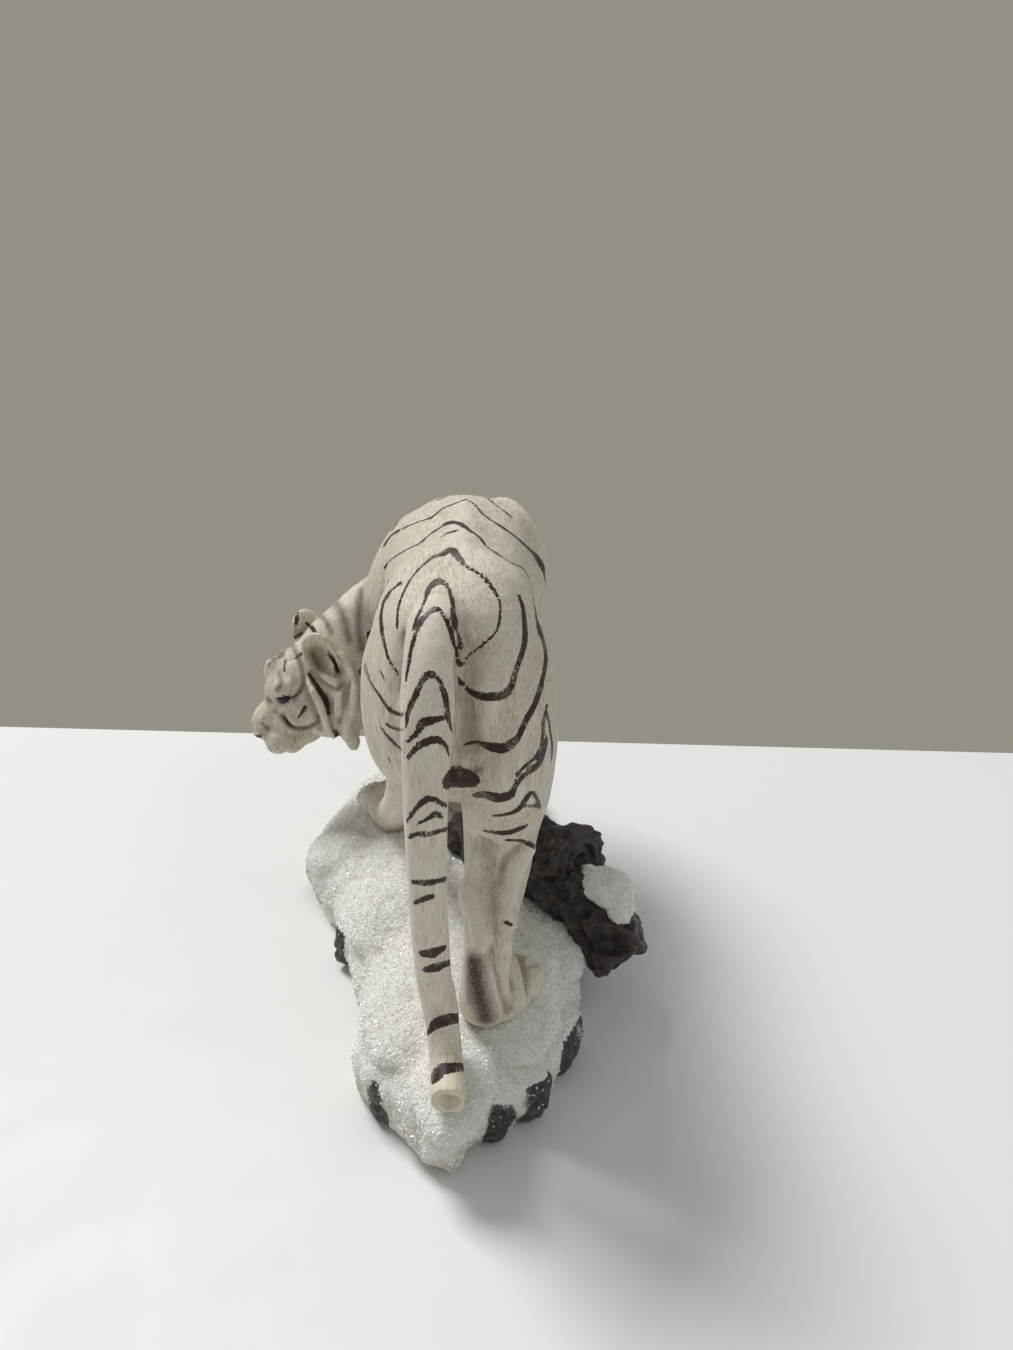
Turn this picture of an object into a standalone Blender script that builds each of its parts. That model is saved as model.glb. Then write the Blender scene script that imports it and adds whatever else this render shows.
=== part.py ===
# White tiger figurine: a cast resin tiger walking over a snowy rock with a dead log.
# Everything is one casting. Lengths below are in millimetres, and MM turns them into metres.
# The tiger walks along +Y, +X is its right side, and the figurine stands on z = 0.

import math

import bmesh
import bpy
import numpy as np
from mathutils import Matrix, Vector, noise

MM = 0.001

# Tiger, overall
SNOW_TOP = 28.0  # height of the snow where the paws stand
RUMP_HEIGHT = 134.0  # from the snow to the top of the rump
BODY_LENGTH = 174.0  # from the back of the thighs to the front of the chest
BODY_WIDTH = 50.0  # across the ribs
REAR_Y = -85.0  # where the thighs end, behind the middle of the base
SPINE_REAR_X = 11.0  # the spine's distance to the right of the middle, over the hips
SPINE_FRONT_X = 5.0  # and over the shoulders

# Limbs and tail
THIGH_WIDTH = 25.0
SHANK_WIDTH = 14.0
FOREARM_WIDTH = 18.0
PAW_WIDTH = 21.0
PAW_LENGTH = 27.0
PAW_HEIGHT = 13.0
TAIL_WIDTH = 10.6
TAIL_TIP_REACH = 105.5  # how far behind the middle the broken tip ends
TAIL_HOLLOW = 3.2  # depth of the dimple in the broken tip

# Head and neck
HEAD_LENGTH = 54.0
HEAD_WIDTH = 36.0
EAR_HEIGHT = 15.0
EAR_WIDTH = 14.0
NECK_WIDTH = 36.0
HEAD_PLACE = (-49.0, 43.0, 76.0)  # middle of the skull
HEAD_TURN = math.radians(112.0)  # to the left of straight ahead
HEAD_NOD = math.radians(34.0)  # nose down

# Snowy rock
BASE_LENGTH = 214.0
BASE_WIDTH = 105.0
BASE_MIDDLE_X = 0.5
RIM_HEIGHT = 17.0
DRIFT_DEPTH = 8.5  # of the snow heaped under each paw

# Dead log under the belly
TRUNK_WIDTH = 26.0
BRANCH_WIDTH = 21.0
LOG_HOLLOW = 8.0  # depth of the rotten hole in the branch's end
TRUNK_END = (49.0, -20.0)  # where the sawn end stands, seen from above
BRANCH_END = (63.0, -39.0)  # and the rotten end

# How fine the surface is
BODY_GRAIN = 1.6
SKIN_GRAIN = 1.15
ROCK_GRAIN = 1.9
BODY_SOFTENING = 9  # rounds that melt the limbs into the trunk
GROUND_SOFTENING = 5
WOOD_SOFTENING = 2
SKIN_SOFTENING = 3
ROUGHNESS = 1.6  # height of the lumps on rock, snow and bark
SNOW_LUMP = 11.0  # their spacing on snow
BARK_LUMP = 5.0  # and on bark
FACES_WANTED = 10400

RESIN_WHITE = (0.62, 0.59, 0.50, 1.0)


def up(share):
    """Height of a place on the tiger, as a share of the rump's height over the snow."""
    return SNOW_TOP + share * RUMP_HEIGHT


def along(share):
    """Place along the body: 0 behind the thighs, 1 at the front of the chest."""
    return REAR_Y + share * BODY_LENGTH


def across(share, reach):
    """Place across the body at a share of its length, reach in widths to the right."""
    spine = SPINE_REAR_X + (SPINE_FRONT_X - SPINE_REAR_X) * share
    return spine + reach * BODY_WIDTH


def spot(length_share, reach, height_share):
    return (across(length_share, reach), along(length_share), up(height_share))


def smooth_rows(rows, steps):
    """Rows of numbers joined by a Catmull-Rom curve, each span cut into equal steps."""
    table = np.array(rows, dtype=float)
    padded = np.vstack([2 * table[0] - table[1], table, 2 * table[-1] - table[-2]])
    out = []
    for i in range(1, len(padded) - 2):
        a, b, c, d = padded[i - 1 : i + 3]
        for step in range(steps):
            t = step / steps
            out.append(
                0.5 * (2 * b + (c - a) * t + (2 * a - 5 * b + 4 * c - d) * t**2
                       + (3 * b - a - 3 * c + d) * t**3)
            )
    out.append(table[-1])
    return np.array(out)


def squared(value, fullness):
    """A sine or cosine pushed outwards, so that an oval section turns boxier."""
    return math.copysign(abs(value) ** (2.0 / fullness), value)


def add_limb(bm, rows, side=(1, 0, 0), steps=4, sides=20, fullness=2.0):
    """A closed tube through rows of x, y, z, half width along side, half depth."""
    table = smooth_rows(rows, steps)
    table[:, 3:] = np.maximum(table[:, 3:], 0.4)
    centres = [Vector(row[:3]) for row in table]
    rings = []
    for i, row in enumerate(table):
        before = centres[max(i - 1, 0)]
        after = centres[min(i + 1, len(centres) - 1)]
        way = (after - before).normalized()
        wide = (Vector(side) - way * way.dot(Vector(side))).normalized()
        deep = way.cross(wide)
        ring = []
        for k in range(sides):
            turn = 2 * math.pi * k / sides
            reach = wide * squared(math.cos(turn), fullness) * row[3]
            reach += deep * squared(math.sin(turn), fullness) * row[4]
            ring.append(bm.verts.new(centres[i] + reach))
        rings.append(ring)
    for low, high in zip(rings, rings[1:]):
        for k in range(sides):
            bm.faces.new((low[k], low[(k + 1) % sides], high[(k + 1) % sides], high[k]))
    bm.faces.new(list(reversed(rings[0])))
    bm.faces.new(rings[-1])


def add_ball(bm, centre, radii, turn=None):
    """An ellipsoid, turned about its own centre."""
    placing = Matrix.Translation(Vector(centre))
    if turn is not None:
        placing = placing @ turn
    placing = placing @ Matrix.Diagonal((*radii, 1.0))
    bmesh.ops.create_uvsphere(bm, u_segments=24, v_segments=16, radius=1.0, matrix=placing)


def new_object(name, bm):
    """An object from a bmesh drawn in millimetres."""
    bmesh.ops.recalc_face_normals(bm, faces=bm.faces[:])
    bmesh.ops.scale(bm, vec=(MM,) * 3, verts=bm.verts[:])
    mesh = bpy.data.meshes.new(name)
    bm.to_mesh(mesh)
    bm.free()
    piece = bpy.data.objects.new(name, mesh)
    bpy.context.scene.collection.objects.link(piece)
    return piece


def fused(piece, grain, rounds):
    """The mesh of a piece after its overlapping shapes are fused and smoothed."""
    remesh = piece.modifiers.new("fuse", "REMESH")
    remesh.mode = "VOXEL"
    remesh.voxel_size = grain * MM
    if rounds:
        soften = piece.modifiers.new("soften", "SMOOTH")
        soften.factor = 0.5
        soften.iterations = rounds
    picture = piece.evaluated_get(bpy.context.evaluated_depsgraph_get())
    mesh = bpy.data.meshes.new_from_object(picture)
    bpy.data.objects.remove(piece)
    return mesh


def add_mesh(bm, mesh):
    """Takes a finished mesh, in metres, into a bmesh drawn in millimetres."""
    lump = bmesh.new()
    lump.from_mesh(mesh)
    bmesh.ops.scale(lump, vec=(1 / MM,) * 3, verts=lump.verts[:])
    copy = bpy.data.meshes.new("lump")
    lump.to_mesh(copy)
    lump.free()
    bm.from_mesh(copy)


# Torso and neck


def add_torso(bm):
    half = BODY_WIDTH / 2
    rows = []
    # share of length, top and bottom as shares of the rump height, half width as a share
    for share, top, bottom, wide in (
        (0.010, 0.880, 0.640, 0.40),
        (0.060, 0.965, 0.560, 0.74),
        (0.150, 1.000, 0.520, 0.90),
        (0.290, 0.980, 0.500, 0.86),
        (0.430, 0.950, 0.480, 0.90),
        (0.570, 0.932, 0.455, 1.00),
        (0.700, 0.910, 0.435, 1.02),
        (0.820, 0.870, 0.430, 0.92),
        (0.910, 0.790, 0.440, 0.74),
        (0.970, 0.700, 0.480, 0.48),
        (1.000, 0.630, 0.530, 0.20),
    ):
        x, y, _ = spot(share, 0.0, 0.0)
        middle = up((top + bottom) / 2)
        rows.append((x, y, middle, half * wide, RUMP_HEIGHT * (top - bottom) / 2))
    add_limb(bm, rows, sides=28, fullness=2.35)


def neck_rows():
    """The neck leaves the shoulders, bends to the left and ends inside the skull."""
    half = NECK_WIDTH / 2
    head = Vector(HEAD_PLACE)
    nape = head_spot((0, -0.16 * HEAD_LENGTH, 0))
    start = Vector(spot(0.74, 0.0, 0.62))
    bend = Vector(spot(0.865, -0.26, 0.545))
    turn = Vector(spot(0.850, -0.60, 0.475))
    return [
        (*start, half * 1.15, half * 1.45),
        (*bend, half * 1.08, half * 1.30),
        (*turn, half * 0.98, half * 1.16),
        (*(turn + nape) / 2, half * 0.92, half * 1.06),
        (*nape, half * 0.86, half * 0.95),
        (*(nape + head) / 2, half * 0.6, half * 0.7),
    ]


def add_neck(bm):
    rows = neck_rows()
    table = smooth_rows(rows, 3)
    for row in table:
        wide = float(row[3])
        add_ball(bm, row[:3], (wide, wide, float(row[4])))


# Legs


def add_hind_legs(bm):
    thigh = THIGH_WIDTH / 2
    shank = SHANK_WIDTH / 2
    # right hind leg, left behind at the end of its stride
    right = [
        (*spot(0.170, 0.14, 0.920), thigh * 0.45, thigh * 0.90),
        (*spot(0.165, 0.24, 0.820), thigh * 0.90, thigh * 1.65),
        (*spot(0.140, 0.27, 0.680), thigh * 1.04, thigh * 1.90),
        (*spot(0.150, 0.27, 0.550), thigh * 0.98, thigh * 1.62),
        (*spot(0.155, 0.25, 0.440), shank * 1.55, shank * 2.15),
        (*spot(0.125, 0.23, 0.350), shank * 1.36, shank * 1.55),
        (*spot(0.080, 0.20, 0.280), shank * 1.12, shank * 1.20),
        (*spot(0.050, 0.18, 0.210), shank * 0.98, shank * 1.02),
        (*spot(0.050, 0.17, 0.130), shank * 1.00, shank * 0.92),
        (*spot(0.070, 0.17, 0.060), shank * 1.10, shank * 1.00),
        (*spot(0.090, 0.18, 0.030), shank * 1.18, shank * 1.10),
    ]
    add_limb(bm, right)
    # left hind leg, swung forward
    left = [
        (*spot(0.170, -0.14, 0.920), thigh * 0.45, thigh * 0.90),
        (*spot(0.180, -0.24, 0.800), thigh * 0.90, thigh * 1.65),
        (*spot(0.215, -0.26, 0.670), thigh * 0.98, thigh * 1.85),
        (*spot(0.305, -0.27, 0.560), thigh * 0.88, thigh * 1.45),
        (*spot(0.405, -0.31, 0.460), shank * 1.45, shank * 1.90),
        (*spot(0.445, -0.33, 0.345), shank * 1.16, shank * 1.40),
        (*spot(0.465, -0.36, 0.250), shank * 0.98, shank * 1.10),
        (*spot(0.520, -0.41, 0.160), shank * 0.98, shank * 0.92),
        (*spot(0.590, -0.46, 0.080), shank * 1.05, shank * 0.95),
        (*spot(0.630, -0.50, 0.030), shank * 1.15, shank * 1.05),
    ]
    add_limb(bm, left)


def add_fore_legs(bm):
    arm = FOREARM_WIDTH / 2
    right = [
        (*spot(0.730, 0.17, 0.845), arm * 0.60, arm * 1.00),
        (*spot(0.750, 0.29, 0.800), arm * 1.10, arm * 1.80),
        (*spot(0.790, 0.35, 0.660), arm * 1.42, arm * 2.20),
        (*spot(0.780, 0.33, 0.520), arm * 1.32, arm * 1.80),
        (*spot(0.745, 0.25, 0.390), arm * 1.12, arm * 1.30),
        (*spot(0.715, 0.15, 0.260), arm * 0.96, arm * 1.04),
        (*spot(0.695, 0.06, 0.140), arm * 0.88, arm * 0.88),
        (*spot(0.695, 0.02, 0.040), arm * 0.98, arm * 0.95),
    ]
    add_limb(bm, right)
    left = [
        (*spot(0.735, -0.17, 0.830), arm * 0.60, arm * 1.00),
        (*spot(0.750, -0.30, 0.770), arm * 1.10, arm * 1.80),
        (*spot(0.800, -0.43, 0.630), arm * 1.50, arm * 2.20),
        (*spot(0.830, -0.42, 0.500), arm * 1.40, arm * 1.75),
        (*spot(0.860, -0.38, 0.370), arm * 1.12, arm * 1.25),
        (*spot(0.900, -0.33, 0.240), arm * 0.96, arm * 1.02),
        (*spot(0.950, -0.29, 0.120), arm * 0.88, arm * 0.88),
        (*spot(0.975, -0.27, 0.040), arm * 0.98, arm * 0.95),
    ]
    add_limb(bm, left)


def paw_places():
    """Name, heel place and heading of each paw, heading in degrees left of straight ahead."""
    return (
        (spot(0.068, 0.19, 0.0), -28.0),
        (spot(0.610, -0.50, 0.0), 38.0),
        (spot(0.672, 0.02, 0.0), -4.0),
        (spot(0.955, -0.27, 0.0), 10.0),
    )


def add_paws(bm):
    half = PAW_WIDTH / 2
    for heel, heading in paw_places():
        turn = Matrix.Rotation(math.radians(heading), 4, "Z")
        place = Matrix.Translation(Vector(heel)) @ turn

        def ball(x, y, z, radii):
            add_ball(bm, place @ Vector((x, y, z)), radii, turn)

        ball(0, PAW_LENGTH * 0.30, PAW_HEIGHT * 0.42,
             (half * 0.86, PAW_LENGTH * 0.42, PAW_HEIGHT * 0.56))
        for toe in range(4):
            fan = (toe - 1.5) / 1.5
            reach = PAW_LENGTH * (0.70 - 0.13 * fan * fan)
            ball(fan * half * 0.66, reach, PAW_HEIGHT * 0.36,
                 (half * 0.29, PAW_LENGTH * 0.21, PAW_HEIGHT * 0.42))


# Tail


def tail_rows():
    half = TAIL_WIDTH / 2
    tip_y = -TAIL_TIP_REACH
    root = Vector(spot(0.080, -0.07, 0.930))
    return [
        (root.x, root.y + 6, root.z - 2, half * 1.2, half * 1.35),
        (root.x - 0.5, root.y - 8, root.z - 2, half * 1.35, half * 1.45),
        (root.x - 1.2, root.y - 19, root.z - 16, half * 1.22, half * 1.25),
        (root.x - 1.6, root.y - 22, root.z - 40, half * 1.10, half * 1.10),
        (root.x - 1.4, root.y - 21, up(0.420), half, half),
        (root.x - 0.8, root.y - 18, up(0.250), half, half),
        (root.x + 0.8, root.y - 17, up(0.140), half, half),
        (root.x + 2.6, (root.y - 21 + tip_y) / 2 + 5, up(0.055), half * 0.97, half * 0.97),
        (root.x + 4.2, tip_y, SNOW_TOP + half * 0.95, half * 0.92, half * 0.92),
    ]


def add_tail(bm):
    add_limb(bm, tail_rows(), steps=6)


def add_tail_dimple(piece):
    """The broken tip ends in a shallow cone, as a snapped casting does."""
    tip = tail_rows()[-1]
    bm = bmesh.new()
    bmesh.ops.create_cone(bm, cap_ends=True, segments=20, radius1=tip[3] * 0.66,
                          radius2=tip[3] * 0.12, depth=TAIL_HOLLOW * 2)
    dimple = new_object("tail_dimple", bm)
    dimple.location = Vector((tip[0], tip[1], tip[2])) * MM
    dimple.rotation_euler = (math.radians(-90.0), 0.0, 0.0)
    cut(piece, dimple, "dimple")


# Head


def head_matrix():
    """Head's own frame, nose along +Y, turned and nodded into place."""
    turn = Matrix.Rotation(HEAD_TURN, 4, "Z")
    nod = Matrix.Rotation(-HEAD_NOD, 4, "X")
    return Matrix.Translation(Vector(HEAD_PLACE)) @ turn @ nod


def head_spot(place):
    return head_matrix() @ Vector(place)


def add_head(bm):
    """Skull, cheeks and ruff, as shares of the head's length and half width."""
    turned = head_matrix().to_3x3().to_4x4()
    half = HEAD_WIDTH / 2

    def ball(x, y, z, wide, long, high):
        place = head_spot((x * half, y * HEAD_LENGTH, z * HEAD_LENGTH))
        add_ball(bm, place, (wide * half, long * HEAD_LENGTH, high * HEAD_LENGTH), turned)

    ball(0, -0.07, 0.03, 0.86, 0.33, 0.28)
    ball(0, 0.12, 0.10, 0.60, 0.20, 0.15)
    for side in (-1, 1):
        ball(side * 0.66, 0.00, -0.12, 0.38, 0.20, 0.20)
        ball(side * 0.84, -0.17, -0.14, 0.27, 0.15, 0.24)
        ball(side * 0.84, -0.20, -0.39, 0.20, 0.11, 0.19)


def add_face(bm):
    """Muzzle, nose, chin, brows and ears: the small forms that stay crisp."""
    turned = head_matrix().to_3x3().to_4x4()
    half = HEAD_WIDTH / 2

    def ball(x, y, z, wide, long, high):
        place = head_spot((x * half, y * HEAD_LENGTH, z * HEAD_LENGTH))
        add_ball(bm, place, (wide * half, long * HEAD_LENGTH, high * HEAD_LENGTH), turned)

    ball(0, 0.24, -0.06, 0.58, 0.21, 0.16)
    ball(0, 0.27, 0.045, 0.33, 0.22, 0.080)
    ball(0, 0.475, -0.030, 0.24, 0.060, 0.060)
    ball(0, 0.19, -0.22, 0.46, 0.20, 0.11)
    ball(0, 0.36, -0.245, 0.32, 0.105, 0.080)
    for side in (-1, 1):
        ball(side * 0.30, 0.39, -0.125, 0.34, 0.120, 0.100)
        ball(side * 0.42, 0.18, 0.12, 0.22, 0.085, 0.050)
        add_ear(bm, side)


def add_ear(bm, side):
    """A round ear, dished in front and full behind."""
    ear = bmesh.new()
    bmesh.ops.create_uvsphere(ear, u_segments=24, v_segments=16, radius=1.0)
    thick = EAR_WIDTH * 0.27
    for vert in ear.verts:
        x, y, z = vert.co
        rho = min(math.hypot(x, z), 1.0)
        dish = thick * (0.5 * y - 0.9 * (1 - rho * rho) ** 2)
        vert.co = Vector((x * EAR_WIDTH / 2, dish if y > 0 else y * thick, z * EAR_HEIGHT / 2))
    lean = Matrix.Rotation(math.radians(side * 26.0), 4, "Y")
    swing = Matrix.Rotation(math.radians(side * -28.0), 4, "Z")
    root = Vector((side * HEAD_WIDTH * 0.37, -HEAD_LENGTH * 0.20, HEAD_LENGTH * 0.30))
    seat = Matrix.Translation(root)
    bmesh.ops.transform(ear, matrix=head_matrix() @ seat @ swing @ lean, verts=ear.verts[:])
    mesh = bpy.data.meshes.new("ear")
    ear.to_mesh(mesh)
    ear.free()
    bm.from_mesh(mesh)


# Snowy rock


def base_outline():
    """The rock's outline as shares of its half width and half length, tip first."""
    return [
        (0.24, -1.00), (0.34, -0.91), (0.52, -0.87), (0.66, -0.80), (0.80, -0.69),
        (0.90, -0.50), (0.97, -0.26), (0.88, 0.00), (0.74, 0.23), (0.72, 0.52),
        (0.66, 0.79), (0.42, 0.96), (0.05, 1.00), (-0.34, 0.91), (-0.62, 0.74),
        (-0.82, 0.56), (-0.94, 0.28), (-0.98, 0.15), (-0.72, -0.06), (-0.52, -0.30),
        (-0.37, -0.53), (-0.37, -0.71), (-0.26, -0.80), (-0.02, -0.91), (0.12, -0.97),
    ]


def outline_ring(bm, shrink, height, wobble=0.0):
    points = smooth_rows(base_outline() + base_outline()[:1], 3)[:-1]
    ring = []
    for i, (x, y) in enumerate(points):
        push = shrink + wobble * math.sin(i * 2.4)
        ring.append(bm.verts.new((
            BASE_MIDDLE_X + x * BASE_WIDTH / 2 * push,
            y * BASE_LENGTH / 2 * (1 - (1 - push) * 0.6),
            height,
        )))
    return ring


def add_rock(bm):
    """A low stack of outlines, each joined to the next, closed over the top."""
    rings = [
        outline_ring(bm, 0.90, -4.0),
        outline_ring(bm, 0.94, 2.0, 0.010),
        outline_ring(bm, 0.99, RIM_HEIGHT * 0.55, 0.012),
        outline_ring(bm, 0.97, RIM_HEIGHT, 0.012),
        outline_ring(bm, 0.84, (RIM_HEIGHT + SNOW_TOP) / 2 + 1.0),
        outline_ring(bm, 0.60, SNOW_TOP - 2.0),
        outline_ring(bm, 0.30, SNOW_TOP - 1.0),
    ]
    count = len(rings[0])
    for low, high in zip(rings, rings[1:]):
        for k in range(count):
            bm.faces.new((low[k], low[(k + 1) % count], high[(k + 1) % count], high[k]))
    bm.faces.new(list(reversed(rings[0])))
    bm.faces.new(rings[-1])


def add_snow(bm):
    """Drifts round the paws and low mounds along the rim."""
    for heel, heading in paw_places():
        turn = Matrix.Rotation(math.radians(heading), 4, "Z")
        under_paw = Vector((0, PAW_LENGTH * 0.32, 1.5 - DRIFT_DEPTH))
        middle = Matrix.Translation(Vector(heel)) @ turn @ under_paw
        add_ball(bm, middle, (PAW_WIDTH * 0.80, PAW_LENGTH * 0.64, DRIFT_DEPTH), turn)
    tip = tail_rows()[-1]
    add_ball(bm, (tip[0], tip[1] + 20, SNOW_TOP - 6), (12, 24, 7.2))
    reach_x = BASE_WIDTH / 2
    reach_y = BASE_LENGTH / 2
    for x, y, z, wide, long, high in (
        (-0.70, 0.14, 0.74, 12, 13, 7), (-0.34, -0.20, 0.84, 13, 20, 6),
        (-0.08, -0.62, 0.84, 13, 20, 6), (0.52, -0.66, 0.86, 13, 14, 6),
        (0.40, 0.40, 0.86, 14, 22, 6), (-0.30, 0.50, 0.72, 13, 18, 7),
        (0.74, -0.32, 0.80, 12, 18, 6), (0.10, 0.82, 0.72, 20, 12, 7),
        (-0.15, 0.12, 0.88, 20, 24, 5),
    ):
        add_ball(bm, (BASE_MIDDLE_X + x * reach_x, y * reach_y, z * SNOW_TOP), (wide, long, high))


def add_plates(bm):
    """Bare rock plates that stick out under the snow along the rim."""
    for x, y, turn, wide in (
        (0.84, -0.58, 66.0, 12), (0.62, -0.81, 36.0, 9), (0.42, -0.87, 8.0, 8),
        (-0.16, -0.82, -38.0, 8), (-0.90, 0.20, -78.0, 8), (-0.58, -0.16, -60.0, 8),
        (-0.34, -0.62, -86.0, 7), (0.68, 0.50, 86.0, 12), (0.36, 0.88, 152.0, 9),
    ):
        lean = Matrix.Rotation(math.radians(turn), 4, "Z")
        place = (BASE_MIDDLE_X + x * BASE_WIDTH / 2, y * BASE_LENGTH / 2, RIM_HEIGHT * 0.55)
        add_ball(bm, place, (wide, 4.2, RIM_HEIGHT * 0.55), lean)


# Dead log


def log_places():
    """Hidden foot of the trunk, its cut end, the fork and the end of the branch."""
    foot = Vector((across(0.58, 0.03), along(0.58), SNOW_TOP + TRUNK_WIDTH * 0.04))
    cut_end = Vector((*TRUNK_END, SNOW_TOP + TRUNK_WIDTH * 0.62))
    fork = foot.lerp(cut_end, 0.62)
    branch_end = Vector((*BRANCH_END, SNOW_TOP - BRANCH_WIDTH * 0.30))
    return foot, cut_end, fork, branch_end


def add_log(bm):
    foot, cut_end, fork, branch_end = log_places()
    trunk = TRUNK_WIDTH / 2
    branch = BRANCH_WIDTH / 2
    rows = []
    for share, wide in ((0.0, 0.66), (0.25, 0.82), (0.5, 0.90), (0.75, 0.98), (0.95, 1.0), (1.0, 0.88)):
        rows.append((*foot.lerp(cut_end, share), trunk * wide, trunk * wide))
    add_limb(bm, rows, side=(1, 1, 0))
    middle = fork.lerp(branch_end, 0.55) + Vector((4.0, -3.0, 3.0))
    rows = [
        (*fork, branch * 1.10, branch * 1.10),
        (*middle, branch * 1.06, branch * 1.06),
        (*branch_end.lerp(middle, 0.35), branch * 1.05, branch * 1.02),
        (*branch_end, branch * 0.92, branch * 0.90),
    ]
    add_limb(bm, rows, side=(1, 1, 0))
    knob = middle + Vector((1.0, 7.0, 7.0))
    add_ball(bm, knob, (3.6, 3.6, 4.6))
    cap = middle + Vector((-1.0, -1.0, branch * 0.80))
    add_ball(bm, cap, (branch * 0.95, branch * 1.0, branch * 0.46))


def add_log_hollow(piece):
    """The rotten hole in the end of the branch."""
    _, _, fork, branch_end = log_places()
    way = (branch_end - fork).normalized()
    bm = bmesh.new()
    bmesh.ops.create_cone(bm, cap_ends=True, segments=18, radius1=BRANCH_WIDTH * 0.14,
                          radius2=BRANCH_WIDTH * 0.34, depth=LOG_HOLLOW * 2)
    hollow = new_object("log_hollow", bm)
    hollow.location = branch_end * MM
    hollow.rotation_mode = "QUATERNION"
    hollow.rotation_quaternion = way.to_track_quat("Z", "Y")
    cut(piece, hollow, "hollow")


# Finishing


def cut(piece, cutter, name):
    """Takes the cutter out of the piece, and hides it from the finished part."""
    cutter.hide_render = True
    cutter.display_type = "WIRE"
    boolean = piece.modifiers.new(name, "BOOLEAN")
    boolean.operation = "DIFFERENCE"
    boolean.object = cutter


def roughen(mesh, height, size):
    """Moves each point of a mesh, in metres, along its normal by a soft noise."""
    normals = [vert.normal.copy() for vert in mesh.vertices]
    for vert, normal in zip(mesh.vertices, normals):
        lift = noise.noise(vert.co / (size * MM)) * height * MM
        vert.co = vert.co + normal * lift


def under_floor():
    """A block below the floor, which leaves the figurine a flat underside."""
    reach = BASE_LENGTH + BASE_WIDTH
    deep = 20.0
    bm = bmesh.new()
    bmesh.ops.create_cube(bm, size=1.0, matrix=Matrix.Translation((0, 0, -deep / 2))
                          @ Matrix.Diagonal((reach, reach, deep, 1.0)))
    return new_object("under_floor", bm)


def resin(name, colour):
    material = bpy.data.materials.new(name)
    material.use_nodes = True
    shader = material.node_tree.nodes["Principled BSDF"]
    shader.inputs["Base Color"].default_value = colour
    shader.inputs["Roughness"].default_value = 0.55
    shader.inputs["Metallic"].default_value = 0.0
    return material


def build_tiger():
    frame = bmesh.new()
    add_torso(frame)
    add_neck(frame)
    add_hind_legs(frame)
    add_fore_legs(frame)
    add_head(frame)
    return fused(new_object("tiger_frame", frame), BODY_GRAIN, BODY_SOFTENING)


def build_ground():
    ground = bmesh.new()
    add_rock(ground)
    add_snow(ground)
    add_plates(ground)
    mesh = fused(new_object("ground", ground), ROCK_GRAIN, GROUND_SOFTENING)
    roughen(mesh, ROUGHNESS, SNOW_LUMP)
    return mesh


def build_wood():
    wood = bmesh.new()
    add_log(wood)
    mesh = fused(new_object("wood", wood), BODY_GRAIN, WOOD_SOFTENING)
    roughen(mesh, ROUGHNESS, BARK_LUMP)
    return mesh


def main():
    for old in list(bpy.data.objects):
        bpy.data.objects.remove(old)
    casting = bmesh.new()
    add_mesh(casting, build_tiger())
    add_mesh(casting, build_ground())
    add_mesh(casting, build_wood())
    add_face(casting)
    add_paws(casting)
    add_tail(casting)
    whole = fused(new_object("whole", casting), SKIN_GRAIN, SKIN_SOFTENING)
    figurine = bpy.data.objects.new("tiger_figurine", whole)
    bpy.context.scene.collection.objects.link(figurine)
    figurine.data.materials.append(resin("white_resin", RESIN_WHITE))
    thin = figurine.modifiers.new("fewer_faces", "DECIMATE")
    thin.ratio = min(1.0, FACES_WANTED / (2 * len(whole.polygons)))
    add_tail_dimple(figurine)
    add_log_hollow(figurine)
    cut(figurine, under_floor(), "flat_underside")
    figurine.data.shade_smooth()


main()
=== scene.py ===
# %% [markdown]
# # A white tiger on a snowy rock, cast in resin and painted by hand
#
# The figurine is a single casting: the tiger, a dead log and the snowy rock under its paws.
# The fixed frame that is loaded first holds its plain solid. The lesson models the same
# casting again with a much finer surface, then paints it as the real one was painted.

# %% Load the frame
import math

import bmesh
import bpy
import numpy as np
from mathutils import Matrix, Vector, noise
from mathutils.bvhtree import BVHTree
from mathutils.kdtree import KDTree


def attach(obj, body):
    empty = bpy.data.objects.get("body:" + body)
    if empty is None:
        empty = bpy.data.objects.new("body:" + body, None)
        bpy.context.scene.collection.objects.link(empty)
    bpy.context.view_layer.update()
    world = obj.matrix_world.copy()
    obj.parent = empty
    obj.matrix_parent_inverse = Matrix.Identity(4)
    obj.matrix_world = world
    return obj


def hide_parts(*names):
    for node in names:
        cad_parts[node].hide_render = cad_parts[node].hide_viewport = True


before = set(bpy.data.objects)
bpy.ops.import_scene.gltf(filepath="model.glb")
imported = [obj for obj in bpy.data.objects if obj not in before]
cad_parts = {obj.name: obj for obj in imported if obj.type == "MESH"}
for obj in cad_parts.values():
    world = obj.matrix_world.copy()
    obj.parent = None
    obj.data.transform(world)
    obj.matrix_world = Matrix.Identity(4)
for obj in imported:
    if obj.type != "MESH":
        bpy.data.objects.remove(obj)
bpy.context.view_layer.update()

# %% [markdown]
# ## Sizes
#
# Everything is drawn in millimetres, because a hand-sized ornament is thought of that way,
# and each object is scaled to metres at the end. The tiger walks along +Y, and +X is its
# right side. These are the sizes that the plain solid was made from as well.

# %% Sizes, in millimetres
MM = 0.001

SNOW_TOP = 28.0  # where the paws stand
RUMP_HEIGHT = 134.0  # above the snow
BODY_LENGTH = 174.0
BODY_WIDTH = 50.0
REAR_Y = -85.0
SPINE_REAR_X = 11.0
SPINE_FRONT_X = 5.0

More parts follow.
